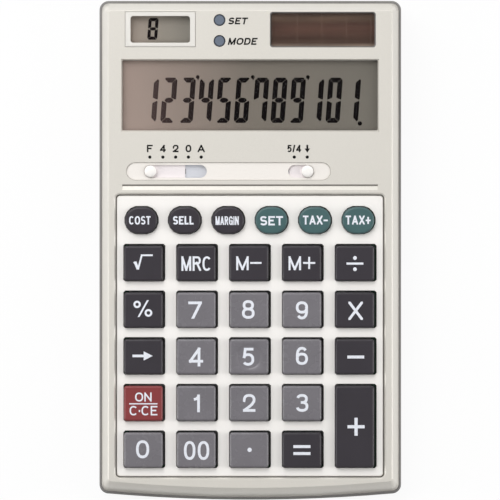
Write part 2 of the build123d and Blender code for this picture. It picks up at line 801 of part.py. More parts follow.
def make_key(name, well, shift, cap_size, well_size, corner, round_ends):
    """A hollow cap with bevelled edges, a retaining flange and a stem that meets its dome.

    The middle key of the digits has a shallow dish that a fingertip can find.
    """
    width, height = cap_size
    place = (well[0] + shift[0], well[1] + shift[1])
    with BuildPart() as key:
        with BuildSketch(face.offset(key_rise)) as cap:
            with Locations(place):
                Rectangle(width, height)
            cut_corners(cap, corner, round_ends)
        extrude(amount=flange_top - key_rise)
        chamfer(key.edges().group_by(face_axis)[-1], key_edge)
        if name == "key_5":
            with BuildSketch(face.offset(key_rise)):
                with Locations(place):
                    Circle(dish_radius)
            extrude(amount=-dish_depth, mode=Mode.SUBTRACT)
        with BuildSketch(face.offset(flange_top)):
            with Locations(well):
                Rectangle(well_size[0] + 2 * key_lip, well_size[1] + 2 * key_lip)
        extrude(amount=-flange_thick)
        with BuildSketch(face.offset(flange_bottom)):
            with Locations(place):
                Rectangle(width - 2 * key_wall, height - 2 * key_wall)
        extrude(amount=key_rise - key_roof - flange_bottom, mode=Mode.SUBTRACT)
        with BuildSketch(face.offset(stem_bottom)):
            with Locations(place):
                Rectangle(stem_size, stem_size)
        extrude(amount=key_rise - key_roof - stem_bottom)
    save(key.part, name)


# Keys stand a little to the left of, and in front of, the middle of their wells
key_shift = ((key_close_gap - key_side_gap) / 2, (key_close_gap - key_back_gap) / 2)
for name, well in key_wells.items():
    cap_size = (key_width, key_height + extra_length(name))
    well_size = (well_width, well_height + extra_length(name))
    make_key(name, well, key_shift, cap_size, well_size, key_corner, False)
oval_shift = ((key_close_gap - oval_side_gap) / 2, (key_close_gap - oval_back_gap) / 2)
for name, well in oval_wells.items():
    cap_size = (oval_width, oval_height)
    well_size = (oval_well_width, oval_well_height)
    make_key(name, well, oval_shift, cap_size, well_size, min(cap_size) / 2, True)

# Rubber mat with a dome under every key
with BuildPart() as dome_mat:
    mat_rear = oval_row_v + dome_radius + mat_margin
    mat_front = first_row_v - last_row * row_pitch - dome_radius - mat_margin
    mat_width = last_column * column_pitch + 2 * (dome_radius + mat_margin)
    with BuildSketch(face.offset(board_top)):
        with Locations((keypad_x, (mat_rear + mat_front) / 2)):
            Rectangle(mat_width, mat_rear - mat_front)
    extrude(amount=mat_thick)
    with BuildSketch(face.offset(mat_top)):
        with Locations(*key_wells.values(), *oval_wells.values()):
            RegularPolygon(dome_radius, dome_sides)
    extrude(amount=dome_height, taper=dome_taper)
save(dome_mat.part, "dome_mat")

# Circuit board, with the two small switches under the round buttons
with BuildPart() as circuit_board:
    with BuildSketch(face.offset(board_top)) as outline:
        with Locations((0, (board_front_v + board_rear_v) / 2)):
            Rectangle(board_width, board_rear_v - board_front_v)
        chamfer(outline.vertices(), board_corner)
    extrude(amount=-board_thick)
    with BuildSketch(face.offset(board_top)):
        with Locations([(button_x, v) for v in button_vs]):
            Rectangle(switch_size, switch_size)
    extrude(amount=switch_height)
    with BuildSketch(face.offset(board_top)):
        with Locations(*case_screw_places):
            Circle(screw_radius + screw_play)
    extrude(amount=-board_thick, mode=Mode.SUBTRACT)
save(circuit_board.part, "circuit_board")

# Controller chip under its drop of resin, on the board's underside
with BuildPart() as controller_chip:
    with BuildSketch(face.offset(board_bottom)):
        with Locations((chip_x, chip_v)):
            RegularPolygon(chip_radius, chip_sides)
    extrude(amount=-chip_height)
    chamfer(controller_chip.edges().group_by(face_axis)[0], chip_edge)
save(controller_chip.part, "controller_chip")

# Main display: lens and liquid crystal cell
with BuildPart() as display_window:
    with BuildSketch(face.offset(-display_depth)):
        with Locations((display_x, display_v)):
            Rectangle(lens_width, lens_height)
    extrude(amount=-lens_thick)
save(display_window.part, "display_window")

with BuildPart() as main_lcd:
    with BuildSketch(face.offset(lcd_top)):
        with Locations((display_x, display_v)):
            Rectangle(lcd_width, lcd_height)
    extrude(amount=-lcd_thick / 2)
    # The rear glass is a little narrower than the front glass
    with BuildSketch(face.offset(lcd_top - lcd_thick / 2)):
        with Locations((display_x, display_v)):
            Rectangle(lcd_width - 2 * lcd_step, lcd_height)
    extrude(amount=-lcd_thick / 2)
save(main_lcd.part, "main_lcd")

# Clock display: bezel, lens and liquid crystal cell
with BuildPart() as clock_bezel:
    with BuildSketch(face.offset(bezel_rise)):
        with Locations((clock_x, clock_v)):
            Rectangle(bezel_width, bezel_height)
    extrude(amount=-bezel_rise - upper_wall)
    chamfer(clock_bezel.edges().group_by(face_axis)[-1], bezel_edge)
    with BuildSketch(face.offset(-upper_wall)):
        with Locations((clock_x, clock_v)):
            Rectangle(bezel_width + 2 * bezel_flange, clock_lcd_height)
    extrude(amount=-bezel_flange_thick)
    with BuildSketch(face.offset(bezel_rise)) as clock_outline:
        with Locations((clock_x, clock_v)):
            Rectangle(clock_width, clock_height)
        cut_corners(clock_outline, clock_corner, True)
    extrude(amount=-bezel_rise - upper_wall - bezel_flange_thick, mode=Mode.SUBTRACT)
    with BuildSketch(face.offset(-clock_depth)):
        with Locations((clock_x, clock_v)):
            Rectangle(clock_lens_width + fit_gap, clock_lens_height + fit_gap)
    extrude(amount=clock_depth - upper_wall - bezel_flange_thick, mode=Mode.SUBTRACT)
save(clock_bezel.part, "clock_bezel")

with BuildPart() as clock_window:
    with BuildSketch(face.offset(-clock_depth)):
        with Locations((clock_x, clock_v)):
            Rectangle(clock_lens_width, clock_lens_height)
    extrude(amount=-clock_lens_thick)
save(clock_window.part, "clock_window")

with BuildPart() as clock_lcd:
    with BuildSketch(face.offset(clock_lcd_top)):
        with Locations((clock_x, clock_v)):
            Rectangle(clock_lcd_width, clock_lcd_height)
    extrude(amount=-clock_lcd_thick)
save(clock_lcd.part, "clock_lcd")

# Solar cell and its window
with BuildPart() as solar_window:
    with BuildSketch(face.offset(-solar_depth)):
        with Locations((solar_x, solar_v)):
            Rectangle(solar_lens_width, solar_lens_height)
    extrude(amount=-solar_lens_thick)
save(solar_window.part, "solar_window")

with BuildPart() as solar_cell:
    with BuildSketch(face.offset(solar_cell_top)):
        with Locations((solar_x, solar_v)):
            Rectangle(solar_cell_width, solar_cell_height)
    extrude(amount=-solar_cell_thick)
save(solar_cell.part, "solar_cell")

# Frame that carries both LCDs over the board
with BuildPart() as lcd_frame:
    with BuildSketch(face.offset(lcd_bottom - frame_web)):
        with Locations((display_x, display_v)):
            Rectangle(lcd_width + 2 * (fit_gap + frame_wall), lcd_height + 2 * (fit_gap + frame_wall))
    extrude(amount=frame_web + lcd_thick + fit_gap / 2)
    with BuildSketch(face.offset(lcd_bottom - frame_web)):
        with Locations((clock_x, (frame_rear_v + display_v) / 2)):
            Rectangle(clock_lcd_width + 2 * (fit_gap + frame_wall), frame_rear_v - display_v)
    extrude(amount=frame_web + clock_lcd_top + fit_gap / 2 - lcd_bottom)
    with BuildSketch(face.offset(lcd_bottom)):
        with Locations((display_x, display_v)):
            Rectangle(lcd_width + 2 * fit_gap, lcd_height + 2 * fit_gap)
    extrude(amount=lcd_thick + fit_gap, mode=Mode.SUBTRACT)
    with BuildSketch(face.offset(clock_lcd_bottom)):
        with Locations((clock_x, clock_v)):
            Rectangle(clock_lcd_width + 2 * fit_gap, clock_lcd_height + 2 * fit_gap)
    extrude(amount=clock_lcd_thick + fit_gap, mode=Mode.SUBTRACT)
    # Window through the web behind the main LCD, and slots for both connectors
    with BuildSketch(face.offset(lcd_bottom)):
        with Locations((display_x, display_v)):
            Rectangle(lcd_width - 2 * frame_ledge, lcd_height - 2 * frame_ledge)
        with Locations((display_x, connector_v)):
            Rectangle(connector_length + 2 * fit_gap, connector_width + 2 * fit_gap)
    extrude(amount=-frame_web, mode=Mode.SUBTRACT)
    with BuildSketch(face.offset(clock_lcd_bottom)):
        with Locations((clock_x, clock_connector_v)):
            Rectangle(clock_connector_length + 2 * fit_gap, connector_width + 2 * fit_gap)
    extrude(amount=lcd_bottom - frame_web - clock_lcd_bottom, mode=Mode.SUBTRACT)
    # Posts that stand on the board
    with BuildSketch(face.offset(board_top)):
        with Locations((display_x, display_v)):
            with GridLocations(lcd_width - frame_post / 2, lcd_height - frame_ledge, 2, 2):
                Rectangle(frame_post, frame_post)
    extrude(amount=lcd_bottom - frame_web - board_top)
save(lcd_frame.part, "lcd_frame")

# Rubber connectors between the LCDs and the board
with BuildPart() as lcd_connectors:
    with BuildSketch(face.offset(board_top)):
        with Locations((display_x, connector_v)):
            Rectangle(connector_length, connector_width)
    extrude(amount=lcd_bottom - board_top)
    with BuildSketch(face.offset(board_top)):
        with Locations((clock_x, clock_connector_v)):
            Rectangle(clock_connector_length, connector_width)
    extrude(amount=clock_lcd_bottom - board_top)
save(lcd_connectors.part, "lcd_connectors")

# Switch strip
with BuildPart() as switch_strip:
    with BuildSketch(face.offset(-strip_drop)):
        with Locations((strip_x, strip_v)):
            SlotOverall(strip_length, strip_width)
        with Locations((decimal_x + decimal_travel / 2, strip_v)):
            SlotOverall(decimal_travel + slot_width, slot_width, mode=Mode.SUBTRACT)
        with Locations((rounding_x - rounding_travel / 2, strip_v)):
            SlotOverall(rounding_travel + slot_width, slot_width, mode=Mode.SUBTRACT)
    extrude(amount=-strip_thick)
save(switch_strip.part, "switch_strip")


def make_slider(name, knob_x, reach_left, reach_right, stem_offset):
    """A bevelled knob on a flat tongue, with a stem that carries the wiper under the case."""
    tongue_top = strip_bottom - slider_gap
    with BuildPart() as slider:
        with BuildSketch(face.offset(tongue_top)):
            with Locations((knob_x + (reach_right - reach_left) / 2, strip_v)):
                Rectangle(reach_left + reach_right, tongue_across)
        extrude(amount=-tongue_thick)
        with BuildSketch(face.offset(tongue_top)):
            with Locations((knob_x, strip_v)):
                Circle(knob_diameter / 2)
        extrude(amount=knob_top - tongue_top)
        chamfer(slider.edges().group_by(face_axis)[-1], knob_edge)
        with BuildSketch(face.offset(tongue_top - tongue_thick)):
            with Locations((knob_x + stem_offset, strip_v)):
                Rectangle(stem_long, stem_across)
        extrude(amount=wiper_top - tongue_top + tongue_thick)
    save(slider.part, name)


def make_wiper(name, stem_x):
    """A thin spring under a slider's stem, with its two ends bent down to the board."""
    with BuildPart() as wiper:
        with BuildSketch(upright_at(stem_x, strip_v)):
            with BuildLine() as leaf:
                Polyline(
                    (-wiper_length / 2, wiper_low),
                    (-stem_long, wiper_top - wiper_thick / 2),
                    (stem_long, wiper_top - wiper_thick / 2),
                    (wiper_length / 2, wiper_low),
                )
            trace(leaf.line, wiper_thick)
        extrude(amount=wiper_across / 2, both=True)
    save(wiper.part, name)


make_slider(
    "decimal_slider", decimal_x, decimal_reach_left, decimal_reach_right, decimal_stem_offset
)
make_slider("rounding_slider", rounding_x, rounding_reach, rounding_reach, 0)
make_wiper("decimal_wiper", decimal_x + decimal_stem_offset)
make_wiper("rounding_wiper", rounding_x)

# Round buttons
for name, v in zip(("set_button", "mode_button"), button_vs):
    with BuildPart() as button:
        with BuildSketch(face.offset(-button_drop)):
            with Locations((button_x, v)):
                Circle(button_diameter / 2)
        extrude(amount=button_drop - upper_wall - button_flange_thick)
        chamfer(button.edges().group_by(face_axis)[-1], button_edge)
        with BuildSketch(face.offset(-upper_wall - flange_gap)):
            with Locations((button_x, v)):
                Rectangle(button_flange, button_flange)
        extrude(amount=-button_flange_thick)
        with BuildSketch(face.offset(-upper_wall - flange_gap - button_flange_thick)):
            with Locations((button_x, v)):
                Rectangle(button_stem, button_stem)
        extrude(amount=button_stem_bottom + upper_wall + flange_gap + button_flange_thick)
    save(button.part, name)

# Flat leads from the solar cell down to the board
with BuildPart() as solar_leads:
    with BuildSketch(face.offset(board_top)):
        with Locations((solar_x, solar_v)):
            with GridLocations(solar_lead_spacing, 0, 2, 1):
                Rectangle(lead_width, lead_thick)
    extrude(amount=solar_cell_bottom - board_top)
save(solar_leads.part, "solar_leads")

# Flat leads from the battery contacts up to the underside of the board
with BuildPart() as battery_leads:
    with BuildSketch(Plane.XY.offset(tail_top)):
        with Locations((top_contact_x, cell_y), (side_contact_x, cell_y)):
            Rectangle(lead_thick, lead_width)
    extrude(amount=board_underside_z + cut_overrun - tail_top)
    split(bisect_by=face.offset(board_bottom), keep=Keep.BOTTOM)
save(battery_leads.part, "battery_leads")
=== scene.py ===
import json
from math import cos, pi, radians, sin, tan

import bpy
from mathutils import Matrix, Vector
from mathutils.geometry import convex_hull_2d, delaunay_2d_cdt


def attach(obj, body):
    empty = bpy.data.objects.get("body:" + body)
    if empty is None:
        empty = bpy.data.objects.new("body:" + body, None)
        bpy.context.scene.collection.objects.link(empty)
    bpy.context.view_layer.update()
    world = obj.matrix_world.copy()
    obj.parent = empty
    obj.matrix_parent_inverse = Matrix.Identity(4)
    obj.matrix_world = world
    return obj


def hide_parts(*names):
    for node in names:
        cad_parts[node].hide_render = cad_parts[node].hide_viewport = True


# A desk calculator with a sloping face, seen square to that face. Sizes are in millimetres
# on the face itself: x to the right, v up towards the displays and w along the normal.

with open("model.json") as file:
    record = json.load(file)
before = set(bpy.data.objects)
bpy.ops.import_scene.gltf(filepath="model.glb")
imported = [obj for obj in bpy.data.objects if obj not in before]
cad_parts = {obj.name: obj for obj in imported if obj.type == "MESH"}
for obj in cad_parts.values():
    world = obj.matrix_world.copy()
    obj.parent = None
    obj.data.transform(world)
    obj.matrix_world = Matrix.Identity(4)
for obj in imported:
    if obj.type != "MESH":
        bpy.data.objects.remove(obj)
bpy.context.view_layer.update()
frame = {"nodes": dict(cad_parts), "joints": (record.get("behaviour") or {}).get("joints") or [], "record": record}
nodes = frame["nodes"]
MM = 0.001
JOINTS = {joint["name"]: joint for joint in frame["joints"]}

# Camera and room. The lamps have their place and size in metres and their power in watts.
VIEW_WIDTH = 172.2
VIEW_CENTRE = (-0.1, 0.1)
LENS = 1000.0
SENSOR = 36.0
CLIP_START = 0.05
CLIP_END = 20
FLOOR_SIZE = 6.0
FLOOR_GAP = 0.05
FLOOR_WHITE = 0.93
FLOOR_GLOW = 0.92
WORLD_STRENGTH = 0.29
LAMPS = {
    "key_light": ((-0.2, 0.36, 0.5), (0.45, 0.36), 2.34),
    "fill_light": ((0.6, -0.05, 0.26), (0.3, 0.6), 2.25),
    "side_light": ((-0.6, -0.1, 0.24), (0.15, 0.6), 1.65),
    "back_light": ((0.0, 0.6, 0.25), (0.6, 0.25), 0.7),
}

# Rounding that the moulded edges get. Angles are in degrees.
CASE_EDGE = 0.25
FINE_EDGE = 0.12
EDGE_SEGMENTS = 2
EDGE_ANGLE = 35.0
FLAT_ANGLE = 0.5
WELD_GAP = 0.001

# Curves: steps in a quarter turn, points round a rounded rectangle, and a size that is nothing
ARC_STEPS = 6
RING_POINTS = 4 * (ARC_STEPS + 1)
TINY = 0.001

# Key caps. One is dished: each ring of its dish has an inset and a share of the depth.
DISHED_KEY = "key_5"
KEY_CORNER = 1.0
KEY_ROUND = 0.75
KEY_SHOULDER = 0.3
LEAST_CORNER = 0.3
CAP_HEIGHT = 1.1
CAP_DEPTH = 1.2
DISH_RADIUS = 4.5
DISH_DEPTH = 0.3
DISH_RINGS = ((0, 0), (0.35, 0.75), (0.7, 1))

# Sloping rims inside the two large windows, which the light picks out
RIM_WIDTH = 0.4
RIM_TOP = -0.12
RIM_LIFT = 0.02

# A sloping lip along the upper edge of the groove between the switches and the keys, dark grey as painted shade
GROOVE_V = 21.6
GROOVE_REACH = 2
GROOVE_LEVEL = -1
LIP_WIDTH = 0.58
LIP_DEPTH = 0.4
LIP_OVERLAP = 0.05
LIP_LIFT = 0.01

# Domes over the knobs of the two slide switches, and the height of the painted shade round their foot
KNOB_EDGE = 0.95
KNOB_RISE = 1.04
KNOB_GAP = 0.03
KNOB_SKIRT = 0.3
KNOB_LAP = 0.05
KNOB_SHADE = 0.42
KNOB_FULLNESS = 0.8

# Printing. The displays' digits lie in thinner layers.
INK_THICK = 0.03
INK_SINK = 0.01
LCD_INK_THICK = 0.02


def face_matrix():
    """The face's plane, from the keys' axis and the upper case's own extent."""
    normal = Vector(JOINTS["key_5_press"]["axis"]).normalized()
    up = normal.cross(Vector((1, 0, 0)))
    points = [vertex.co for vertex in nodes["upper_case"].data.vertices]
    height = max(point.dot(normal) for point in points)
    along = [point.dot(up) for point in points]
    origin = normal * height + up * (min(along) + max(along)) / 2
    axes = (Vector((1, 0, 0)), up, normal)
    rows = [[*(axis[i] for axis in axes), origin[i]] for i in range(3)]
    return Matrix((*rows, (0, 0, 0, 1)))


FACE = face_matrix()


def face_points(node):
    """A CAD node's vertices on the face's axes, in millimetres."""
    to_face = FACE.inverted()
    return [to_face @ vertex.co / MM for vertex in nodes[node].data.vertices]


def extent(points):
    """Lowest and highest corner of some points."""
    low = Vector(min(point[i] for point in points) for i in range(3))
    high = Vector(max(point[i] for point in points) for i in range(3))
    return low, high


def top_of(node):
    """The highest level of a CAD node."""
    return max(point.z for point in face_points(node))


# Materials

# Most of a noise's values lie between these two
NOISE_LOW = 0.3
NOISE_HIGH = 0.7
# Half the height over which a colour changes at a level of the face
LEVEL_BLUR = 0.1
CLOUD_SIZE = 9.0
GRAIN_SIZE = 0.25
GLOSS_SIZE = 3.0
GLOSS_SPREAD = 0.15
FLAKE_SIZE = 0.12
METAL_GRAIN = 0.4
PANE_EDGE_SHINE = 0.5
PANE_LEAST_SHINE = 0.002
PANE_POWER = 4.0
SILVER = (214, 210, 202)
# Painted shade: the cool grey of the switch channels' floor inside the strip, below a level
CHANNEL_SHADE = (208, 210, 217)
CHANNEL_LEVEL = -1.3

# The solar cell's lines lie at this x and one pitch apart. Its bands run up its height; the lightest, at its foot,
# is painted light where the window's lower edge is lit.
SOLAR_LINE = 7.75
SOLAR_PITCH = 8.45
SOLAR_SCRIBE = 0.14
SOLAR_LINE_SHARE = 0.13
SOLAR_LINE_COLOUR = (164, 140, 128)
SOLAR_BANDS_AND_LIT_FOOT = (
    # Painted light: the lit strip at the cell's foot
    (0.0, (144, 130, 119)),
    (0.1, (82, 66, 59)),
    (0.22, (68, 52, 46)),
    (0.34, (80, 61, 54)),
    (0.52, (88, 65, 58)),
    (0.68, (80, 61, 54)),
    (0.82, (97, 80, 69)),
    (0.95, (86, 71, 63)),
)


def linear(red, green, blue):
    """An sRGB colour of 0 to 255 as the linear values that shaders take."""
    shares = [value / 255 for value in (red, green, blue)]
    return [s / 12.92 if s <= 0.04045 else ((s + 0.055) / 1.055) ** 2.4 for s in shares]


class Shader:
    """A node material that starts from a Principled shader on object coordinates."""

    def __init__(self, name, roughness=0.5, specular=0.5, metallic=0.0):
        self.material = bpy.data.materials.new(name)
        self.material.use_nodes = True
        self.tree = self.material.node_tree
        self.surface = self.tree.nodes["Principled BSDF"]
        self.set(self.surface, "Roughness", roughness)
        self.set(self.surface, "Specular IOR Level", specular)
        self.set(self.surface, "Metallic", metallic)
        self.coords = self.add("ShaderNodeTexCoord").outputs["Object"]

    def add(self, kind, **settings):
        """A new node with its settings."""
        node = self.tree.nodes.new(kind)
        for key, value in settings.items():
            setattr(node, key, value)
        return node

    def set(self, node, socket, value):
        """Puts a value, or links another node's output, into a socket."""
        target = node.inputs[socket]
        if isinstance(value, bpy.types.NodeSocket):
            self.tree.links.new(value, target)
        elif hasattr(target.default_value, "__len__") and len(value) == 3:
            full = len(target.default_value) == 4
            target.default_value = (*value, 1) if full else value
        else:
            target.default_value = value

    def noise(self, size, detail=3.0, stretch=(1, 1, 1)):
        """Noise from 0 to 1 whose features are about size millimetres across."""
        place = self.add("ShaderNodeMapping")
        self.set(place, "Vector", self.coords)
        self.set(place, "Scale", stretch)
        noise = self.add("ShaderNodeTexNoise")
        self.set(noise, "Vector", place.outputs["Vector"])
        self.set(noise, "Scale", 1 / (size * MM))
        self.set(noise, "Detail", detail)
        return noise.outputs["Fac"]

    def ramp(self, value, *stops):
        """Blends colours along a value. Each stop is a place and a colour."""
        ramp = self.add("ShaderNodeValToRGB")
        self.set(ramp, "Fac", value)
        elements = ramp.color_ramp.elements
        for _ in stops[2:]:
            elements.new(0.5)
        for element, (place, colour) in zip(elements, stops):
            element.position = place
            element.color = (*colour, 1)
        return ramp.outputs["Color"]

    def blend(self, noise, dark, light):
        """Blends two colours along a noise."""
        return self.ramp(noise, (NOISE_LOW, dark), (NOISE_HIGH, light))

    def axis(self, index, low, high):
        """How far a point lies from low to high millimetres along the face's x, v or w axis."""
        way = FACE.col[index].xyz
        start = FACE.translation.dot(way)
        along = self.add("ShaderNodeVectorMath", operation="DOT_PRODUCT")
        self.set(along, 0, self.coords)
        self.set(along, 1, way)
        spread = self.add("ShaderNodeMapRange")
        self.set(spread, "Value", along.outputs["Value"])
        self.set(spread, "From Min", start + low * MM)
        self.set(spread, "From Max", start + high * MM)
        spread.clamp = False
        return spread.outputs["Result"]

    def math(self, operation, *values):
        """The result of a sum on values or outputs."""
        node = self.add("ShaderNodeMath", operation=operation)
        for index, value in enumerate(values):
            self.set(node, index, value)
        return node.outputs["Value"]

    def mix(self, share, first, second, blend="MIX"):
        """Mixes two colours, each of them a value or an output."""
        mix = self.add("ShaderNodeMix", data_type="RGBA", blend_type=blend)
        for index, value in ((0, share), (6, first), (7, second)):
            target = mix.inputs[index]
            if isinstance(value, bpy.types.NodeSocket):
                self.tree.links.new(value, target)
            elif index:
                target.default_value = (*value, 1)
            else:
                target.default_value = value
        return mix.outputs[2]

    def bump(self, height, strength, depth):
        """Bump from a height of 0 to 1, as deep as depth millimetres."""
        bump = self.add("ShaderNodeBump")
        self.set(bump, "Height", height)
        self.set(bump, "Strength", strength)
        self.set(bump, "Distance", depth * MM)
        self.set(self.surface, "Normal", bump.outputs["Normal"])

    def roughen(self, value, low, high):
        """Varies the roughness from low to high along a value."""
        spread = self.add("ShaderNodeMapRange")
        self.set(spread, "Value", value)
        self.set(spread, "To Min", low)
        self.set(spread, "To Max", high)
        self.set(self.surface, "Roughness", spread.outputs["Result"])


def moulded(name, colour, spread=0.06, roughness=0.45, depth=0.01, specular=0.5, shade_below=None):
    """Moulded plastic: a slightly uneven colour, a fine grain and a varying gloss.

    The last argument, a colour and a level of the face, paints shade in that colour on what lies below the level,
    in the part's recesses.
    """
    shader = Shader(name, roughness=roughness, specular=specular)
    base = linear(*colour)
    dark = [value * (1 - spread) for value in base]
    light = [value * (1 + spread) for value in base]
    result = shader.blend(shader.noise(CLOUD_SIZE, detail=4), dark, light)
    # Painted shade: a colour for the part's recesses below a level of the face
    if shade_below:
        shade_colour, level = shade_below
        above = shader.axis(2, level - LEVEL_BLUR, level + LEVEL_BLUR)
        result = shader.mix(above, linear(*shade_colour), result)
    shader.set(shader.surface, "Base Color", result)
    shader.bump(shader.noise(GRAIN_SIZE), strength=0.5, depth=depth)
    glossy, dull = roughness * (1 - GLOSS_SPREAD), roughness * (1 + GLOSS_SPREAD)
    shader.roughen(shader.noise(GLOSS_SIZE), glossy, dull)
    return shader.material


def silver_paint():
    """Satin pearl silver paint: a warm grey with fine metal flakes under a soft gloss.

    The floor of the switches' channels, seen through the strip's slots, is painted a cooler grey as shade, since
    it lies deep under the strip.
    """
    shader = Shader("silver_paint", roughness=0.38)
    base = linear(*SILVER)
    flakes = shader.noise(FLAKE_SIZE, detail=1)
    dark = [value * 0.93 for value in base]
    light = [value * 1.06 for value in base]
    tint = shader.blend(shader.noise(30.0, detail=2), (0.985, 0.985, 0.98), (1.0, 1.0, 1.0))
    colour = shader.mix(1.0, shader.blend(flakes, dark, light), tint, "MULTIPLY")
    # Painted shade on the channel floor: inside the strip's outline and below the channels' level
    strip_low, strip_high = extent(face_points("switch_strip"))
    middle, half = (strip_low + strip_high) / 2, (strip_high - strip_low) / 2
    outside = [
        shader.math("ABSOLUTE", shader.axis(index, middle[index], middle[index] + half[index]))
        for index in (0, 1)
    ]
    beside = shader.math("GREATER_THAN", shader.math("MAXIMUM", *outside), 1.0)
    above = shader.axis(2, CHANNEL_LEVEL - LEVEL_BLUR, CHANNEL_LEVEL + LEVEL_BLUR)
    share = shader.math("MAXIMUM", beside, above)
    shader.set(shader.surface, "Base Color", shader.mix(share, linear(*CHANNEL_SHADE), colour))
    shader.set(shader.surface, "Metallic", 0.15)
    shader.bump(flakes, strength=0.15, depth=0.004)
    shader.roughen(shader.noise(5.0), low=0.3, high=0.36)
    return shader.material


def metal(name, colour, roughness):
    """Bare metal with a fine grain."""
    shader = Shader(name, roughness=roughness, metallic=1.0)
    base = linear(*colour)
    streaks = shader.noise(METAL_GRAIN)
    dull = [value * 0.85 for value in base]
    shader.set(shader.surface, "Base Color", shader.blend(streaks, dull, base))
    shader.roughen(streaks, low=roughness * 0.8, high=roughness * 1.2)
    shader.bump(streaks, strength=0.2, depth=0.005)
    return shader.material


def pane(name, tint, gloss):
    """A thin clear window: it lets the view through and adds a weak reflection.

    The reflection grows towards grazing angles alike on both faces, so that light gets out.
    """
    shader = Shader(name)
    tree = shader.tree
    clear = shader.add("ShaderNodeBsdfTransparent")
    haze = shader.noise(12.0, detail=2)
    bright = [min(1.0, value * 1.01) for value in tint]
    shader.set(clear, "Color", shader.blend(haze, tint, bright))
    shine = shader.add("ShaderNodeBsdfGlossy")
    shader.set(shine, "Roughness", gloss)
    facing = shader.add("ShaderNodeLayerWeight").outputs["Facing"]
    grazing = shader.math("POWER", facing, PANE_POWER)
    share = shader.math("MULTIPLY_ADD", grazing, PANE_EDGE_SHINE, PANE_LEAST_SHINE)
    both = shader.add("ShaderNodeMixShader")
    shader.set(both, "Fac", share)
    tree.links.new(clear.outputs[0], both.inputs[1])
    tree.links.new(shine.outputs[0], both.inputs[2])
    tree.links.new(both.outputs[0], tree.nodes["Material Output"].inputs["Surface"])
    tree.nodes.remove(shader.surface)
    return shader.material


def lcd_material(name, left, middle, right, low_x, high_x, specular=0.1):
    """A part of a liquid crystal cell, whose colour drifts from lighter at the left to darker at the right:
    painted light and reflection of the lamps over the cell's own tone.
    """
    shader = Shader(name, roughness=0.35, specular=specular)
    along = shader.axis(0, low_x, high_x)
    # Painted light and reflection: lighter at the left, over the cell's own tone
    painted_light_drift = shader.ramp(
        along, (0.0, linear(*left)), (0.5, linear(*middle)), (1.0, linear(*right))
    )
    cloud = shader.blend(shader.noise(14.0, detail=2), (0.97,) * 3, (1.0,) * 3)
    shader.set(shader.surface, "Base Color", shader.mix(1.0, painted_light_drift, cloud, "MULTIPLY"))
    shader.bump(shader.noise(0.15), strength=0.2, depth=0.004)
    return shader.material


def solar_material():
    """Amorphous silicon behind glass: brown, with lighter and darker bands along it. The light band at its foot is
    painted light, where the window's lower edge is lit.
    """
    shader = Shader("solar_cell", roughness=0.3, specular=0.08)
    low, high = extent(face_points("solar_cell"))
    across = shader.axis(1, low.y, high.y)
    bands_and_lit_foot = shader.ramp(across, *((place, linear(*colour)) for place, colour in SOLAR_BANDS_AND_LIT_FOOT))
    bands = shader.noise(2.4, stretch=(0.1, 1, 1))
    streaks = shader.blend(bands, (0.76, 0.75, 0.76), (1.22, 1.18, 1.14))
    colour = shader.mix(1.0, bands_and_lit_foot, streaks, "MULTIPLY")
    along = shader.math("SUBTRACT", shader.axis(0, 0, 1), SOLAR_LINE)
    line = shader.math("PINGPONG", along, SOLAR_PITCH / 2)
    on_line = shader.math("LESS_THAN", line, SOLAR_SCRIBE)
    share = shader.math("MULTIPLY", on_line, SOLAR_LINE_SHARE)
    colour = shader.mix(share, colour, linear(*SOLAR_LINE_COLOUR))
    shader.set(shader.surface, "Base Color", colour)
    shader.bump(shader.noise(0.3), strength=0.1, depth=0.003)
    return shader.material


def ink(name, colour, specular=0.3):
    """Printing ink: nearly even, a little thinner in places."""
    shader = Shader(name, roughness=0.5, specular=specular)
    base = linear(*colour)
    thin = [value * 0.93 + 0.004 for value in base]
    shader.set(shader.surface, "Base Color", shader.blend(shader.noise(0.8), thin, base))
    return shader.material
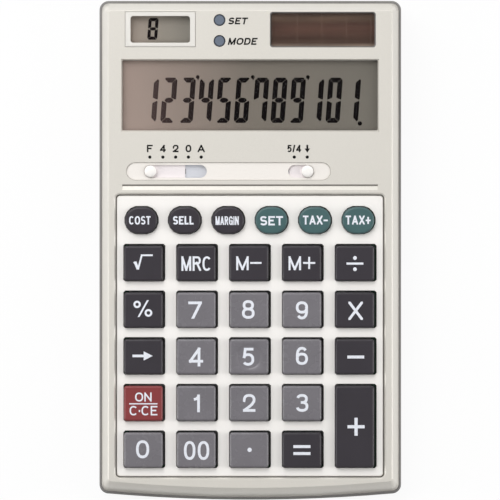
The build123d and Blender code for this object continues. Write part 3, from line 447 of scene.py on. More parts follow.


# Each material by its name. Below this level of the face the knobs are painted darker: painted shade round their
# foot.
knob_shade_level = top_of("decimal_slider") - KNOB_EDGE + KNOB_SHADE
MATERIALS = {
    "silver_paint": silver_paint(),
    "grey_plastic": moulded("grey_plastic", (118, 116, 114), roughness=0.55, depth=0.012),
    # Below a level, the cream parts deep in the switch slots are painted a cool bluish white: painted shade.
    "cream_plastic": moulded(
        "cream_plastic", (238, 233, 227), spread=0.01, roughness=0.5, shade_below=((222, 223, 230), -1.2)
    ),
    "bezel_plastic": moulded("bezel_plastic", (221, 218, 212), spread=0.01, roughness=0.5),
    # Below a level, the panel's flange in the gap round it and the depths of its key holes are painted dark grey:
    # painted shade.
    "panel_plastic": moulded(
        "panel_plastic", (248, 245, 241), spread=0.005, roughness=0.5, shade_below=((112, 108, 102), -1.5)
    ),
    "knob_plastic": moulded(
        "knob_plastic",
        (248, 245, 241),
        spread=0.005,
        roughness=0.3,
        shade_below=((158, 151, 146), knob_shade_level),
    ),
    # A dark grey for the groove lip: painted shade on the groove's upper wall.
    "groove_shade": moulded("groove_shade", (126, 122, 116), roughness=0.4),
    # Below a level, the slide switches' tongues deep in their slots are painted a greyer lavender: painted shade.
    "white_plastic": moulded(
        "white_plastic", (248, 245, 241), spread=0.01, roughness=0.35, shade_below=((238, 231, 232), -0.9)
    ),
    "clear_plastic": pane("clear_plastic", (0.985, 0.985, 0.98), gloss=0.05),
    # The displays and their ink are lighter at the left: painted light and reflection.
    "lcd_glass": lcd_material(
        "main_lcd", (166, 148, 140), (122, 115, 107), (117, 113, 106), low_x=-45, high_x=45
    ),
    "clock_glass": lcd_material(
        "clock_lcd", (165, 152, 143), (149, 142, 133), (137, 133, 126), low_x=-42, high_x=-20
    ),
    "solar_glass": solar_material(),
    "key_charcoal": moulded(
        "key_charcoal", (49, 45, 51), roughness=0.3, depth=0.005, specular=0.27
    ),
    "key_grey": moulded("key_grey", (113, 110, 115), roughness=0.27, depth=0.005, specular=0.42),
    "key_teal": moulded("key_teal", (64, 94, 95), roughness=0.3, depth=0.005, specular=0.33),
    "key_red": moulded("key_red", (130, 51, 53), roughness=0.3, depth=0.005, specular=0.35),
    "button_blue": moulded("button_blue", (93, 103, 118), roughness=0.6),
    "grey_rubber": moulded("grey_rubber", (150, 150, 150), roughness=0.7),
    "black_rubber": moulded("black_rubber", (38, 38, 39), roughness=0.75, depth=0.03),
    "board_green": moulded("board_green", (34, 92, 58), roughness=0.35),
    "black_resin": moulded("black_resin", (24, 24, 25), roughness=0.2),
    "frame_plastic": moulded("frame_plastic", (200, 200, 196), roughness=0.5),
    "steel": metal("steel", (190, 190, 188), roughness=0.3),
    "lead_wire": metal("lead_wire", (200, 170, 120), roughness=0.3),
    "white_ink": ink("white_ink", (234, 237, 245)),
    "black_ink": ink("black_ink", (8, 7, 7), specular=0.12),
    "clock_ink": ink("clock_ink", (20, 14, 16), specular=0.02),
    "lcd_ink": lcd_material(
        "lcd_ink", (76, 62, 61), (42, 34, 34), (16, 13, 14), low_x=-36, high_x=-6, specular=0.02
    ),
}


def paint(piece, name):
    """Gives a piece one material."""
    piece.data.materials.clear()
    piece.data.materials.append(MATERIALS[name])


# Mesh helpers


def add_piece(name, body, material, points, faces, smooth=True):
    """A mesh that rides on a body. Its points are given on the face's axes, in millimetres."""
    mesh = bpy.data.meshes.new(name)
    mesh.from_pydata([FACE @ (Vector(point) * MM) for point in points], [], faces)
    mesh.update()
    piece = bpy.data.objects.new(name, mesh)
    bpy.context.scene.collection.objects.link(piece)
    for polygon in mesh.polygons:
        polygon.use_smooth = smooth
    paint(piece, material)
    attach(piece, body)
    return piece


def rounded_loop(width, height, radius):
    """Points round a rectangle with arcs at its corners."""
    points = []
    for corner, (side_x, side_v) in enumerate(((1, 1), (-1, 1), (-1, -1), (1, -1))):
        middle_x = side_x * (width / 2 - radius)
        middle_v = side_v * (height / 2 - radius)
        for step in range(ARC_STEPS + 1):
            angle = (corner + step / ARC_STEPS) * pi / 2
            points.append((middle_x + radius * cos(angle), middle_v + radius * sin(angle)))
    return points


def ring_points(centre, rings):
    """Points of rounded rectangles round one centre. Each is (width, height, radius, w)."""
    points = []
    for width, height, radius, level in rings:
        loop = rounded_loop(width, height, radius)
        points += [(centre[0] + x, centre[1] + v, level) for x, v in loop]
    return points


def band(first, second):
    """Faces between two of a mesh's rings."""
    low, high = first * RING_POINTS, second * RING_POINTS
    steps = [(step, (step + 1) % RING_POINTS) for step in range(RING_POINTS)]
    return [(low + a, low + b, high + b, high + a) for a, b in steps]


def add_lofted(name, body, material, centre, rings):
    """A closed piece through rounded rectangles, from the lowest to the highest."""
    points = ring_points(centre, rings)
    faces = []
    for index in range(len(rings) - 1):
        faces += band(index, index + 1)
    faces.append(tuple(reversed(range(RING_POINTS))))
    faces.append(tuple(range(len(points) - RING_POINTS, len(points))))
    return add_piece(name, body, material, points, faces)


def soften(node, width):
    """Rounds a CAD node's edges, as a mould does, without changing its own mesh."""
    piece = nodes[node]
    weld = piece.modifiers.new("weld", "WELD")
    weld.merge_threshold = WELD_GAP * MM
    flat = piece.modifiers.new("flat", "DECIMATE")
    flat.decimate_type = "DISSOLVE"
    flat.angle_limit = radians(FLAT_ANGLE)
    bevel = piece.modifiers.new("bevel", "BEVEL")
    bevel.width = width * MM
    bevel.segments = EDGE_SEGMENTS
    bevel.limit_method = "ANGLE"
    bevel.angle_limit = radians(EDGE_ANGLE)
    bevel.harden_normals = True


# Camera, light and floor


def add_camera():
    """A far camera that looks along the face's normal."""
    data = bpy.data.cameras.new("camera")
    data.lens = LENS
    data.sensor_width = SENSOR
    data.clip_start = CLIP_START
    data.clip_end = CLIP_END
    camera = bpy.data.objects.new("camera", data)
    bpy.context.scene.collection.objects.link(camera)
    distance = VIEW_WIDTH * MM * LENS / SENSOR
    centre = Vector((*VIEW_CENTRE, 0)) * MM
    camera.matrix_world = FACE @ Matrix.Translation(centre + Vector((0, 0, distance)))
    bpy.context.scene.camera = camera


def add_floor():
    """A pale table top, which looks nearly white but keeps the calculator's shadow."""
    half = FLOOR_SIZE / 2
    mesh = bpy.data.meshes.new("floor")
    corners = bar(-half, -half, half, half)
    mesh.from_pydata([(x, v, -FLOOR_GAP * MM) for x, v in corners], [], [(0, 1, 2, 3)])
    floor = bpy.data.objects.new("floor", mesh)
    bpy.context.scene.collection.objects.link(floor)
    shader = Shader("floor", roughness=0.9, specular=0.2)
    cloud = shader.noise(400.0, detail=2)
    white = shader.blend(cloud, (FLOOR_WHITE * 0.99,) * 3, (FLOOR_WHITE,) * 3)
    shader.set(shader.surface, "Base Color", white)
    glow = shader.add("ShaderNodeEmission")
    rays = shader.add("ShaderNodeLightPath")
    seen = shader.math("MAXIMUM", rays.outputs["Is Camera Ray"], rays.outputs["Is Glossy Ray"])
    seen = shader.math("MAXIMUM", seen, rays.outputs["Is Transmission Ray"])
    both = shader.add("ShaderNodeMixShader")
    shader.set(both, "Fac", shader.math("MULTIPLY", seen, FLOOR_GLOW))
    shader.tree.links.new(shader.surface.outputs[0], both.inputs[1])
    shader.tree.links.new(glow.outputs[0], both.inputs[2])
    output = shader.tree.nodes["Material Output"]
    shader.tree.links.new(both.outputs[0], output.inputs["Surface"])
    mesh.materials.append(shader.material)


def add_world():
    """A white room for the camera, gloss and glass, and a weaker light for the rest."""
    world = bpy.data.worlds.new("studio")
    bpy.context.scene.world = world
    world.use_nodes = True
    tree = world.node_tree
    background = tree.nodes["Background"]
    background.inputs["Color"].default_value = (1, 1, 1, 1)
    rays = tree.nodes.new("ShaderNodeLightPath")
    seen = rays.outputs["Is Camera Ray"]
    for kind in ("Is Glossy Ray", "Is Transmission Ray"):
        either = tree.nodes.new("ShaderNodeMath")
        either.operation = "MAXIMUM"
        tree.links.new(seen, either.inputs[0])
        tree.links.new(rays.outputs[kind], either.inputs[1])
        seen = either.outputs["Value"]
    strength = tree.nodes.new("ShaderNodeMapRange")
    strength.inputs["To Min"].default_value = WORLD_STRENGTH
    strength.inputs["To Max"].default_value = 1.0
    tree.links.new(seen, strength.inputs["Value"])
    tree.links.new(strength.outputs["Result"], background.inputs["Strength"])


def add_softbox(name, place, size, watts):
    """A rectangular lamp that faces the calculator's middle."""
    data = bpy.data.lights.new(name, "AREA")
    data.shape = "RECTANGLE"
    data.size, data.size_y = size
    data.energy = watts
    lamp = bpy.data.objects.new(name, data)
    bpy.context.scene.collection.objects.link(lamp)
    lamp.location = place
    lamp.rotation_mode = "QUATERNION"
    lamp.rotation_quaternion = (-Vector(place)).to_track_quat("-Z", "Y")


def bar(x0, v0, x1, v1):
    """The corners of a rectangle."""
    return [(x0, v0), (x1, v0), (x1, v1), (x0, v1)]


add_camera()
add_floor()
add_world()
for name, (place, size, watts) in LAMPS.items():
    add_softbox(name, place, size, watts)

# CAD nodes that stay as they are, with their own materials
NODE_SLOTS = {row["node"]: row["material_slot"] for row in frame["record"]["subparts"]}
for node, piece in nodes.items():
    paint(piece, NODE_SLOTS[node])
paint(nodes["clock_lcd"], "clock_glass")
paint(nodes["clock_bezel"], "bezel_plastic")
paint(nodes["keypad_panel"], "panel_plastic")
soften("upper_case", CASE_EDGE)
soften("lower_case", CASE_EDGE)
for node in ("keypad_panel", "clock_bezel", "switch_strip", "battery_door"):
    soften(node, FINE_EDGE)

# Key caps


def cap_outline(node):
    """Middle, width, height and top of a key's cap, from the vertices above the panel."""
    top = top_of(node)
    low, high = extent([point for point in face_points(node) if point.z > top - CAP_HEIGHT])
    middle = (low + high) / 2
    return middle, high.x - low.x, high.y - low.y, top


def add_cap(key, corner=None, dished=False):
    """A key's cap with rounded edges. Without a corner its ends are half circles."""
    middle, width, height, top = cap_outline(key)
    corner = corner or height / 2 - TINY
    levels = [(width, height, corner, top_of("keypad_panel") - CAP_DEPTH)]
    for step in range(ARC_STEPS):
        angle = step / (ARC_STEPS - 1) * pi / 2
        inset = KEY_ROUND * (1 - cos(angle))
        level = top - KEY_ROUND + KEY_ROUND * sin(angle)
        radius = max(corner - inset, KEY_ROUND / 2)
        levels.append((width - 2 * inset, height - 2 * inset, radius, level))
    inset = KEY_ROUND + KEY_SHOULDER
    radius = max(corner - inset, LEAST_CORNER)
    levels.append((width - 2 * inset, height - 2 * inset, radius, top))
    if dished:
        for inset, share in DISH_RINGS:
            radius = DISH_RADIUS - inset
            levels.append((2 * radius, 2 * radius, radius - TINY, top - DISH_DEPTH * share))
    slot = NODE_SLOTS[key]
    cap = add_lofted("cap_" + key, key, slot, middle, levels)
    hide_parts(key)


OVALS = ("key_cost", "key_sell", "key_margin", "key_set", "key_tax_minus", "key_tax_plus")
for key in [node for node in nodes if node.startswith("key_")]:
    add_cap(key, None if key in OVALS else KEY_CORNER, dished=key == DISHED_KEY)

# Rims, groove lip and knobs


def window(low, high):
    """The opening above a lens, from the upper case's face vertices within the lens."""
    inside = [
        point
        for point in face_points("upper_case")
        if low.x < point.x < high.x and low.y < point.y < high.y and point.z > RIM_TOP * 2
    ]
    return extent(inside)


def add_rim(name, lens, corner, slot):
    """A ring of triangular section that slopes from the face down to a window's lens."""
    lens_low, lens_high = extent(face_points(lens))
    low, high = window(lens_low, lens_high)
    width, height = high.x - low.x, high.y - low.y
    level = lens_high.z + RIM_LIFT
    rings = (
        (width, height, corner, RIM_TOP),
        (width - 2 * RIM_WIDTH, height - 2 * RIM_WIDTH, corner, level),
        (width, height, corner, level),
    )
    faces = band(0, 1) + band(1, 2) + band(2, 0)
    points = ring_points((low + high) / 2, rings)
    add_piece(name, "case", slot, points, faces, smooth=False)


add_rim("display_rim", "display_window", 0.35, "silver_paint")
# The solar window's rim is grey, not silver: it stands for the glass's dark edge and paints the shade on that
# window's walls.
add_rim("solar_rim", "solar_window", 0.8, "grey_plastic")


def add_groove_lip():
    """A bar of triangular section along the groove's upper edge, dark grey as painted shade of its upper wall."""
    near = [point for point in face_points("upper_case") if abs(point.y - GROOVE_V) < GROOVE_REACH]
    low, high = extent([point for point in near if point.z > GROOVE_LEVEL])
    back = high.y + LIP_OVERLAP
    section = ((back, LIP_LIFT), (high.y - LIP_WIDTH, -LIP_DEPTH), (back, -LIP_DEPTH))
    points = [(x, v, level) for x in (low.x, high.x) for v, level in section]
    faces = [(0, 1, 2), (5, 4, 3), (0, 3, 4, 1), (1, 4, 5, 2), (2, 5, 3, 0)]
    add_piece("groove_lip", "case", "groove_shade", points, faces, smooth=False)


add_groove_lip()


def add_knob(name, slider, body):
    """A dome over a slide switch's knob, with a short skirt round it."""
    top = top_of(slider)
    low, high = extent([point for point in face_points(slider) if point.z > top - KNOB_EDGE])
    radius = (high.x - low.x) / 2 + KNOB_GAP
    start = top - KNOB_EDGE + KNOB_LAP
    levels = [(radius, start - KNOB_SKIRT)]
    for step in range(2 * ARC_STEPS):
        angle = step / (2 * ARC_STEPS) * pi / 2
        reach, lift = cos(angle) ** KNOB_FULLNESS, sin(angle) ** KNOB_FULLNESS
        levels.append((radius * reach, start + KNOB_RISE * lift))
    circles = [(2 * r, 2 * r, r - TINY, level) for r, level in levels]
    add_lofted(name, body, "knob_plastic", (low + high) / 2, circles)


add_knob("decimal_knob", "decimal_slider", "decimal_switch")
add_knob("rounding_knob", "rounding_slider", "rounding_switch")

# Lettering: each sign is a set of strokes on a unit square, drawn with one thickness

CURVE_STEPS = 28
LEAST_STEPS = 4
SQUARENESS = 2.35
SHARP_TURN = 40.0
LEAST_SLANT = 0.02
LETTER_GAP = 0.14
DISC_STEPS = 20
JOIN_GAP = 1e-4
WIDE_BOX = (-99, -99, 99, 99)


def oval(x0, v0, x1, v1, start=0, end=360, power=SQUARENESS):
    """Points along a squarish oval inside a box, between two angles in degrees."""
    steps = max(LEAST_STEPS, int(abs(end - start) / 360 * CURVE_STEPS))
    points = []
    for step in range(steps + 1):
        angle = radians(start + (end - start) * step / steps)
        parts = []
        for part in (cos(angle), sin(angle)):
            parts.append((abs(part) ** (2 / power)) * (1 if part > 0 else -1))
        x = (x0 + x1) / 2 + (x1 - x0) / 2 * parts[0]
        v = (v0 + v1) / 2 + (v1 - v0) / 2 * parts[1]
        points.append((x, v))
    return points


def bend(start, control, end):
    """Points along a quadratic curve."""
    points = []
    for step in range(1, ARC_STEPS + 1):
        t = step / ARC_STEPS
        points.append(
            tuple(
                (1 - t) ** 2 * a + 2 * t * (1 - t) * b + t * t * c
                for a, b, c in zip(start, control, end)
            )
        )
    return points


# Width as a share of the height, and the strokes. A stroke is (points, ends cut by the box).
GLYPHS = {
    "0": (0.72, [(oval(0, 0, 1, 1), False)]),
    "1": (
        0.42,
        [
            ([(1, 0), (1, 1)], True),
            ([(0.0, 0.76), (0.5, 0.8), (0.86, 0.9), (1, 0.98)], False),
        ],
    ),
    "2": (
        0.7,
        [
            (
                oval(0, 0.42, 1, 1, 175, -22)
                + bend((0.96, 0.6), (0.8, 0.36), (0.4, 0.2))
                + [(0.0, 0.0), (1, 0)],
                True,
            )
        ],
    ),
    "3": (
        0.7,
        [
            (oval(0.05, 0.53, 0.94, 1, 168, -90) + [(0.36, 0.53)], False),
            (oval(0, 0, 1, 0.53, 90, -168), False),
        ],
    ),
    "4": (0.76, [([(1, 0.24), (0, 0.24), (0.76, 1), (0.76, 0)], True)]),
    "5": (
        0.68,
        [
            ([(0.92, 1), (0.2, 1)], True),
            ([(0.2, 1), (0.1, 0.5)] + oval(0, 0, 1, 0.64, 130, -145), False),
        ],
    ),
    "6": (0.68, [(oval(0, 0, 1, 0.62), False), (oval(0, 0, 1, 1, 42, 205), False)]),
    "7": (0.78, [([(0, 1), (1, 1), (0.34, 0)], True)]),
    "8": (0.68, [(oval(0.07, 0.53, 0.93, 1), False), (oval(0, 0, 1, 0.53), False)]),
    "9": (0.68, [(oval(0, 0.38, 1, 1), False), (oval(0, 0, 1, 1, 222, 385), False)]),
    "A": (0.9, [([(0, 0), (0.5, 1), (1, 0)], True), ([(0.2, 0.27), (0.8, 0.27)], False)]),
    "C": (0.9, [(oval(0, 0, 1, 1, 42, 318), False)]),
    "D": (
        0.88,
        [([(0, 1), (0.45, 1)] + oval(0, 0, 1, 1, 80, -80) + [(0.45, 0), (0, 0), (0, 1)], False)],
    ),
    "E": (0.76, [([(1, 1), (0, 1), (0, 0), (1, 0)], True), ([(0, 0.52), (0.92, 0.52)], False)]),
    "F": (0.7, [([(1, 1), (0, 1), (0, 0)], True), ([(0, 0.5), (0.9, 0.5)], False)]),
    "G": (0.95, [(oval(0, 0, 1, 1, 42, 330) + [(1, 0.0), (1, 0.46), (0.55, 0.46)], True)]),
    "I": (0.26, [([(0.5, 0), (0.5, 1)], True)]),
    "L": (0.66, [([(0, 1), (0, 0), (1, 0)], True)]),
    "M": (1.0, [([(0, 0), (0, 1), (0.5, 0), (1, 1), (1, 0)], True)]),
    "N": (0.88, [([(0, 0), (0, 1), (1, 0), (1, 1)], True)]),
    "O": (0.98, [(oval(0, 0, 1, 1), False)]),
    "R": (
        0.86,
        [
            ([(0, 0), (0, 1), (0.5, 1)] + oval(0.1, 0.5, 0.96, 1, 75, -75) + [(0, 0.5)], True),
            ([(0.55, 0.5), (1, 0)], True),
        ],
    ),
    "S": (
        0.82,
        [(oval(0.04, 0.5, 0.96, 1, 22, 262) + oval(0, 0, 1, 0.5, 82, -158), False)],
    ),
    "T": (0.8, [([(0, 1), (1, 1)], True), ([(0.5, 1), (0.5, 0)], True)]),
    "X": (0.84, [([(0, 0), (1, 1)], True), ([(0, 1), (1, 0)], True)]),
    "/": (0.42, [([(0, 0), (1, 1)], True)]),
    "-": (0.62, [([(0, 0.45), (1, 0.45)], True)]),
    "+": (0.72, [([(0, 0.45), (1, 0.45)], True), ([(0.5, 0.08), (0.5, 0.82)], True)]),
    ".": (0.16, [([(0.5, 0.42), (0.5, 0.5)], True)]),
}


def stroke(points, thick, box=WIDE_BOX, cut=False):
    """Convex shapes that cover a stroke and stay in a box.

    The runs end square and overlap at sharp turns. Ends that the box cuts are drawn longer.
    """
    path = [Vector(points[0])]
    for point in points[1:]:
        if (Vector(point) - path[-1]).length > TINY:
            path.append(Vector(point))
    closed = (path[0] - path[-1]).length < 2 * TINY
    runs = list(zip(path, path[1:]))
    ways = [(b - a).normalized() for a, b in runs]
    shapes = []
    for i, (start, end) in enumerate(runs):
        way = ways[i]
        side = Vector((-way.y, way.x)) * thick / 2
        corners = []
        for point, near, sign in ((start, i - 1, -1), (end, (i + 1) % len(runs), 1)):
            joined = closed or 0 <= i + sign < len(runs)
            turn = way.angle_signed(ways[near]) if joined else 0
            if joined and abs(turn) < radians(SHARP_TURN):
                lean = way * tan(turn / 2) * thick / 2
                corners += [point + side + lean, point - side - lean]
                continue
            reach = 0
            if joined:
                reach = thick / 2
            elif cut:
                slanted = min(abs(way.x), abs(way.y)) > LEAST_SLANT
                reach = thick if slanted else thick / 2
            ahead = way * sign * reach
            corners += [point + side + ahead, point - side + ahead]
        shape = clip([corners[index] for index in convex_hull_2d(corners)], box)
        if abs(signed_area(shape)) > TINY:
            shapes.append(shape)
    return shapes


def signed_area(shape):
    """Area of a flat shape, which is negative where its points run clockwise."""
    turns = (a[0] * b[1] - b[0] * a[1] for a, b in zip(shape, [*shape[1:], *shape[:1]]))
    return sum(turns) / 2


def clip(shape, box):
    """Cuts a convex shape to a box."""
    x0, v0, x1, v1 = box
    for axis, limit, sign in ((0, x0, 1), (0, x1, -1), (1, v0, 1), (1, v1, -1)):
        kept = []
        for i, point in enumerate(shape):
            before = shape[i - 1]
            inside = sign * (point[axis] - limit)
            was_inside = sign * (before[axis] - limit)
            if (inside >= 0) != (was_inside >= 0):
                kept.append(before.lerp(point, was_inside / (was_inside - inside)))
            if inside >= 0:
                kept.append(point)
        shape = [p for i, p in enumerate(kept) if (p - kept[i - 1]).length > TINY]
        if not shape:
            break
    return shape


def word_shapes(word, width, height, thick, slant=0.0):
    """Shapes of a word that fills a width and a height, with its middle at zero."""
    shares = [GLYPHS[letter][0] for letter in word]
    total = sum(shares) + LETTER_GAP * (len(word) - 1)
    unit = width / total
    left = -width / 2
    shapes = []
    for letter, share in zip(word, shares):
        wide = share * unit
        box = (left, -height / 2, left + wide, height / 2)
        for points, cut in GLYPHS[letter][1]:
            placed = [
                (left + thick / 2 + x * (wide - thick), (v - 0.5) * (height - thick))
                for x, v in points
            ]
            shapes += stroke(placed, thick, box, cut)
        left += (share + LETTER_GAP) * unit
    lean = tan(radians(slant))
    return [[(x + v * lean, v) for x, v in shape] for shape in shapes]


def disc(x, v, radius):
    """A round dot."""
    turn = 2 * pi / DISC_STEPS
    return [(x + radius * cos(i * turn), v + radius * sin(i * turn)) for i in range(DISC_STEPS)]


def holds(outline, point):
    """Whether a point lies in a convex outline that runs anticlockwise."""
    for start, end in zip(outline, [*outline[1:], outline[0]]):
        way, reach = end - start, point - start
        if way.x * reach.y - way.y * reach.x < 0:
            return False
    return True


def add_print(name, body, material, shapes, place, top, thick=INK_THICK):
    """A thin closed layer that covers overlapping flat shapes, a little above a surface."""
    points, faces = [], []
    for shape in shapes:
        ordered = shape if signed_area(shape) > 0 else shape[::-1]
        faces.append(list(range(len(points), len(points) + len(ordered))))
        points += [Vector((point[0], point[1])) for point in ordered]
    flat, _, triangles, _, _, _ = delaunay_2d_cdt(points, [], faces, 0, JOIN_GAP, True)
    outlines = [[points[index] for index in face] for face in faces]
    covered = []
    for face in triangles:
        middle = sum((flat[index] for index in face), Vector((0, 0))) / len(face)
        if any(holds(outline, middle) for outline in outlines):
            covered.append(face)
    used = sorted({index for face in covered for index in face})
    renumber = {old: new for new, old in enumerate(used)}
    count = len(used)
    layer = [(place[0] + flat[old].x, place[1] + flat[old].y) for old in used]
    solid = [(x, v, w) for w in (top + thick, top - INK_SINK) for x, v in layer]
    sides = {}
    solid_faces = []
    for face in covered:
        face = [renumber[old] for old in face]
        solid_faces.append(tuple(face))
        solid_faces.append(tuple(index + count for index in reversed(face)))
        sides.update(dict.fromkeys(zip(face, [*face[1:], face[0]])))
    for a, b in sides:
        if (b, a) not in sides:
            solid_faces.append((b, a, a + count, b + count))
    add_piece(name, body, material, solid, solid_faces, smooth=False)


def lettering(word, width, height, thick, dx=0.0, dv=0.0, slant=0.0):
    """The shapes of a word, moved off the middle by dx and dv."""
    shapes = word_shapes(word, width, height, thick, slant)
    return [[(x + dx, v + dv) for x, v in shape] for shape in shapes]


def ring(x, v, radius, thick):
    """A round line."""
    return stroke(oval(x - radius, v - radius, x + radius, v + radius, power=2.0), thick)


# Thicknesses of the keys' strokes, and each key's legend
DIGIT = 0.94
BIG = 0.92
SMALL = 0.58
LEGENDS = {
    "key_cost": lettering("COST", 7.4, 2.9, 0.5, dx=-0.5),
    "key_sell": lettering("SELL", 7.1, 2.9, SMALL, dx=-0.47),
    "key_margin": lettering("MARGIN", 8.0, 3.0, 0.42, dx=-0.3, dv=-0.1),
    "key_set": lettering("SET", 7.9, 3.2, 0.62, dx=0.04, dv=-0.14),
    "key_tax_minus": lettering("TAX-", 8.6, 3.1, SMALL, dx=0.2, dv=0.1),
    "key_tax_plus": lettering("TAX+", 8.6, 3.1, SMALL, dx=-0.03, dv=0.1),
    "key_root": stroke([(-3.35, 0.1), (-2.75, 0.55)], 0.5)
    + stroke([(-2.85, 0.55), (-1.85, -2.0)], 0.95)
    + stroke([(-1.85, -2.1), (-0.55, 2.8), (3.25, 2.8)], 0.6),
    "key_mrc": lettering("MRC", 10.3, 5.0, 0.7, dx=0.05, dv=-0.07),
    "key_m_minus": lettering("M", 4.3, 4.8, 0.7, dx=-2.28, dv=0.05)
    + [bar(0.4, -0.16, 4.3, 0.48)],
    "key_m_plus": lettering("M", 4.3, 4.8, 0.7, dx=-2.45, dv=0.05)
    + [bar(0.4, -0.16, 4.6, 0.48), bar(2.18, -1.94, 2.82, 2.26)],
    "key_divide": [bar(-2.83, -0.44, 2.97, 0.3), disc(0.07, 1.86, 0.66), disc(0.07, -2.0, 0.66)],
    "key_percent": ring(-2.15, 1.95, 0.92, 0.7)
    + ring(1.75, -0.98, 0.98, 0.7)
    + stroke([(-1.6, -2.3), (1.5, 3.3)], 0.6, box=(-9, -2.4, 9, 3.4), cut=True),
    "key_7": lettering("7", 4.7, 5.9, DIGIT, dx=-0.38),
    "key_8": lettering("8", 4.35, 6.4, DIGIT, dx=-0.27, dv=0.2),
    "key_9": lettering("9", 4.2, 6.2, DIGIT, dv=-0.1),
    "key_multiply": lettering("X", 5.0, 6.3, BIG, dx=0.3, dv=-0.25),
    "key_backspace": [bar(-3.76, -0.16, 0.4, 0.72), [(0.1, -1.3), (3.24, 0.28), (0.1, 1.86)]],
    "key_4": lettering("4", 4.9, 6.5, DIGIT, dx=-0.07, dv=-0.1),
    "key_5": lettering("5", 4.2, 6.15, DIGIT, dx=-0.33),
    "key_6": lettering("6", 4.15, 6.2, DIGIT, dv=0.3),
    "key_minus": [bar(-2.55, -0.6, 3.25, 0.4)],
    "key_on_clear": lettering("ON", 5.7, 3.1, 0.5, dv=2.2)
    + [bar(-4.85, -0.34, 4.85, 0.06)]
    + lettering("C.CE", 9.6, 3.25, 0.5, dx=0.05, dv=-2.5),
    "key_1": lettering("1", 2.55, 6.1, DIGIT),
    "key_2": lettering("2", 4.3, 6.1, DIGIT, dx=0.05, dv=0.17),
    "key_3": lettering("3", 4.3, 6.1, DIGIT, dx=0.07, dv=0.17),
    "key_plus": [bar(-2.5, -0.55, 3.4, 0.55), bar(-0.1, -3.1, 1.0, 3.1)],
    "key_0": lettering("0", 4.55, 6.2, DIGIT, dx=-0.26, dv=0.28),
    "key_00": lettering("00", 8.76, 6.5, DIGIT, dx=0.13, dv=-0.14),
    "key_point": [disc(0.18, 0.07, 0.75)],
    "key_equals": [bar(-2.95, 0.7, 2.95, 1.7), bar(-2.95, -1.7, 2.95, -0.7)],
}
for key, shapes in LEGENDS.items():
    middle, _, _, top = cap_outline(key)
    if key == DISHED_KEY:
        top -= DISH_DEPTH
    add_print("legend_" + key, key, "white_ink", shapes, middle, top)

# Printing on the case: each entry has its shapes and the place of their middle
CASE_INK = 0.52
CASE_SLANT = 13
LABEL_V = 35.05
LABEL_HEIGHT = 2.55
DOT_V = 32.1
DOT = [disc(0, 0, 0.56)]
ARROW = [bar(-0.32, -0.4, 0.32, 1.28), [(-0.92, 0.0), (0, -1.42), (0.92, 0.0)]]
CASE_PRINTS = {
    "label_set": (lettering("SET", 6.5, 2.35, CASE_INK, slant=CASE_SLANT), (-4.25, 78.99)),
    "label_mode": (lettering("MODE", 9.8, 2.4, CASE_INK, slant=CASE_SLANT), (-2.6, 71.95)),
    "label_round": (lettering("5/4", 4.8, 2.5, 0.5), (15.1, LABEL_V)),
}
for letter, x in zip("F420A", (-34.6, -30.1, -25.7, -21.3, -16.9)):
    width = 2.5 if letter == "A" else 2.0
    shapes = lettering(letter, width, LABEL_HEIGHT, CASE_INK)
    CASE_PRINTS["label_" + letter] = (shapes, (x, LABEL_V))
    CASE_PRINTS["dot_" + letter] = (DOT, (x, DOT_V))
CASE_PRINTS["dot_up"] = (DOT, (15.15, DOT_V))
CASE_PRINTS["dot_down"] = (DOT, (19.6, DOT_V))
CASE_PRINTS["label_down"] = (ARROW, (19.63, LABEL_V))
face_top = top_of("upper_case")
for name, (shapes, place) in CASE_PRINTS.items():
    add_print(name, "case", "black_ink", shapes, place, face_top)

# Seven-segment digits of the two displays: the lit segments, by their usual letters
SEGMENTS = {
    "0": "abcdef",
    "1": "bc",
    "2": "abged",
    "3": "abgcd",
    "4": "fgbc",
    "5": "afgcd",
    "6": "afedcg",
    "7": "abcf",
    "8": "abcdefg",
    "9": "abfgcd",
}
SEGMENT_GAP = 0.035

# Digits are (width, height, thickness). A digit's neighbour lies one pitch away.
LCD_SLANT = 4.3
LCD_PITCH = 6.324
LCD_LEFT = -34.36
LCD_V = 51.7
LCD_DIGIT = (4.88, 15.6, 1.74)
LCD_NUMBER = "123456789101"
CLOCK_DIGIT = (3.45, 7.5, 1.1)
CLOCK_PLACE = (-33.55, 76.3)

# Thousands marks after these digits, and the point, lie so many pitches to the right
MARKED_DIGITS = (2, 5, 8)
MARK_SHIFT = 0.57
MARK_V = 59.7
MARK = [disc(0, 0, 0.65), [(-0.35, 0.1), (0.1, -1.3), (0.62, 0.1)]]
POINT_SHIFT = 11.405
POINT_V = 43.7
POINT = [disc(0, 0, 0.75)]


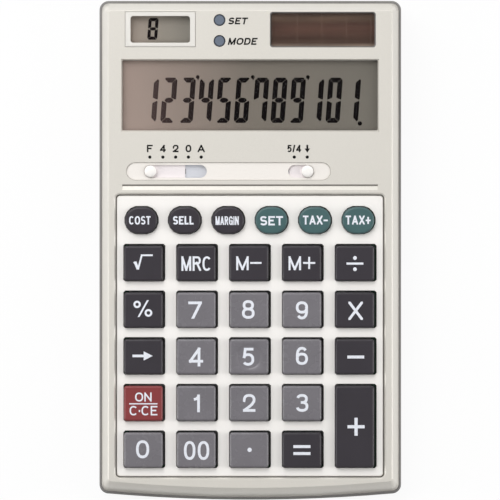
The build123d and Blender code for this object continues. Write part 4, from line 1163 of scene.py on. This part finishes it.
def segment_shapes(digit, width, height, thick, slant):
    """The lit segments of a leaning digit, with its middle at zero. Thin gaps part them.

    The corners of a segment lie at shares of its thickness t from the digit's edges.
    """
    w, h, t = width / 2, height / 2, thick
    gap = t * SEGMENT_GAP
    upright = [
        (w, gap + t * 0.25),
        (w, h - t * 0.6),
        (w - t * 0.24, h - t * 0.24 - gap),
        (w - t, h - t - gap),
        (w - t, gap + t * 0.5),
        (w - t * 0.15, gap + t * 0.08),
    ]
    half = [(w - t - gap, h - t), (w - t * 0.26 - gap, h - t * 0.26), (w - t * 0.5, h)]
    level = half + [(-x, v) for x, v in reversed(half)]
    half = [(w - t * 0.47 - gap, 0), (w - t * 0.8, t * 0.36), (w - t * 1.15, t * 0.5)]
    half += [(-x, v) for x, v in reversed(half)]
    middle = half + [(x, -v) for x, v in reversed(half[1:-1])]
    forms = {
        "a": (level, 1, 1),
        "b": (upright, 1, 1),
        "c": (upright, 1, -1),
        "d": (level, 1, -1),
        "e": (upright, -1, -1),
        "f": (upright, -1, 1),
        "g": (middle, 1, 1),
    }
    lean = tan(radians(slant))
    shapes = []
    for name in SEGMENTS[digit]:
        form, side, end = forms[name]
        shapes.append([(side * x + end * v * lean, end * v) for x, v in form])
    return shapes


def add_lcd_print(name, shapes, place, top, material="lcd_ink"):
    """A dark part of a display."""
    add_print(name, "case", material, shapes, place, top, LCD_INK_THICK)


lcd_top = top_of("main_lcd")
for index, digit in enumerate(LCD_NUMBER):
    shapes = segment_shapes(digit, *LCD_DIGIT, LCD_SLANT)
    place = (LCD_LEFT + index * LCD_PITCH, LCD_V)
    add_lcd_print(f"lcd_digit_{index + 1}", shapes, place, lcd_top)
for index in MARKED_DIGITS:
    place = (LCD_LEFT + (index + MARK_SHIFT) * LCD_PITCH, MARK_V)
    add_lcd_print(f"lcd_mark_{index}", MARK, place, lcd_top)
add_lcd_print("lcd_point", POINT, (LCD_LEFT + POINT_SHIFT * LCD_PITCH, POINT_V), lcd_top)
shapes = segment_shapes("8", *CLOCK_DIGIT, LCD_SLANT)
add_lcd_print("clock_digit", shapes, CLOCK_PLACE, top_of("clock_lcd"), "clock_ink")

bpy.context.scene.view_settings.view_transform = "Standard"
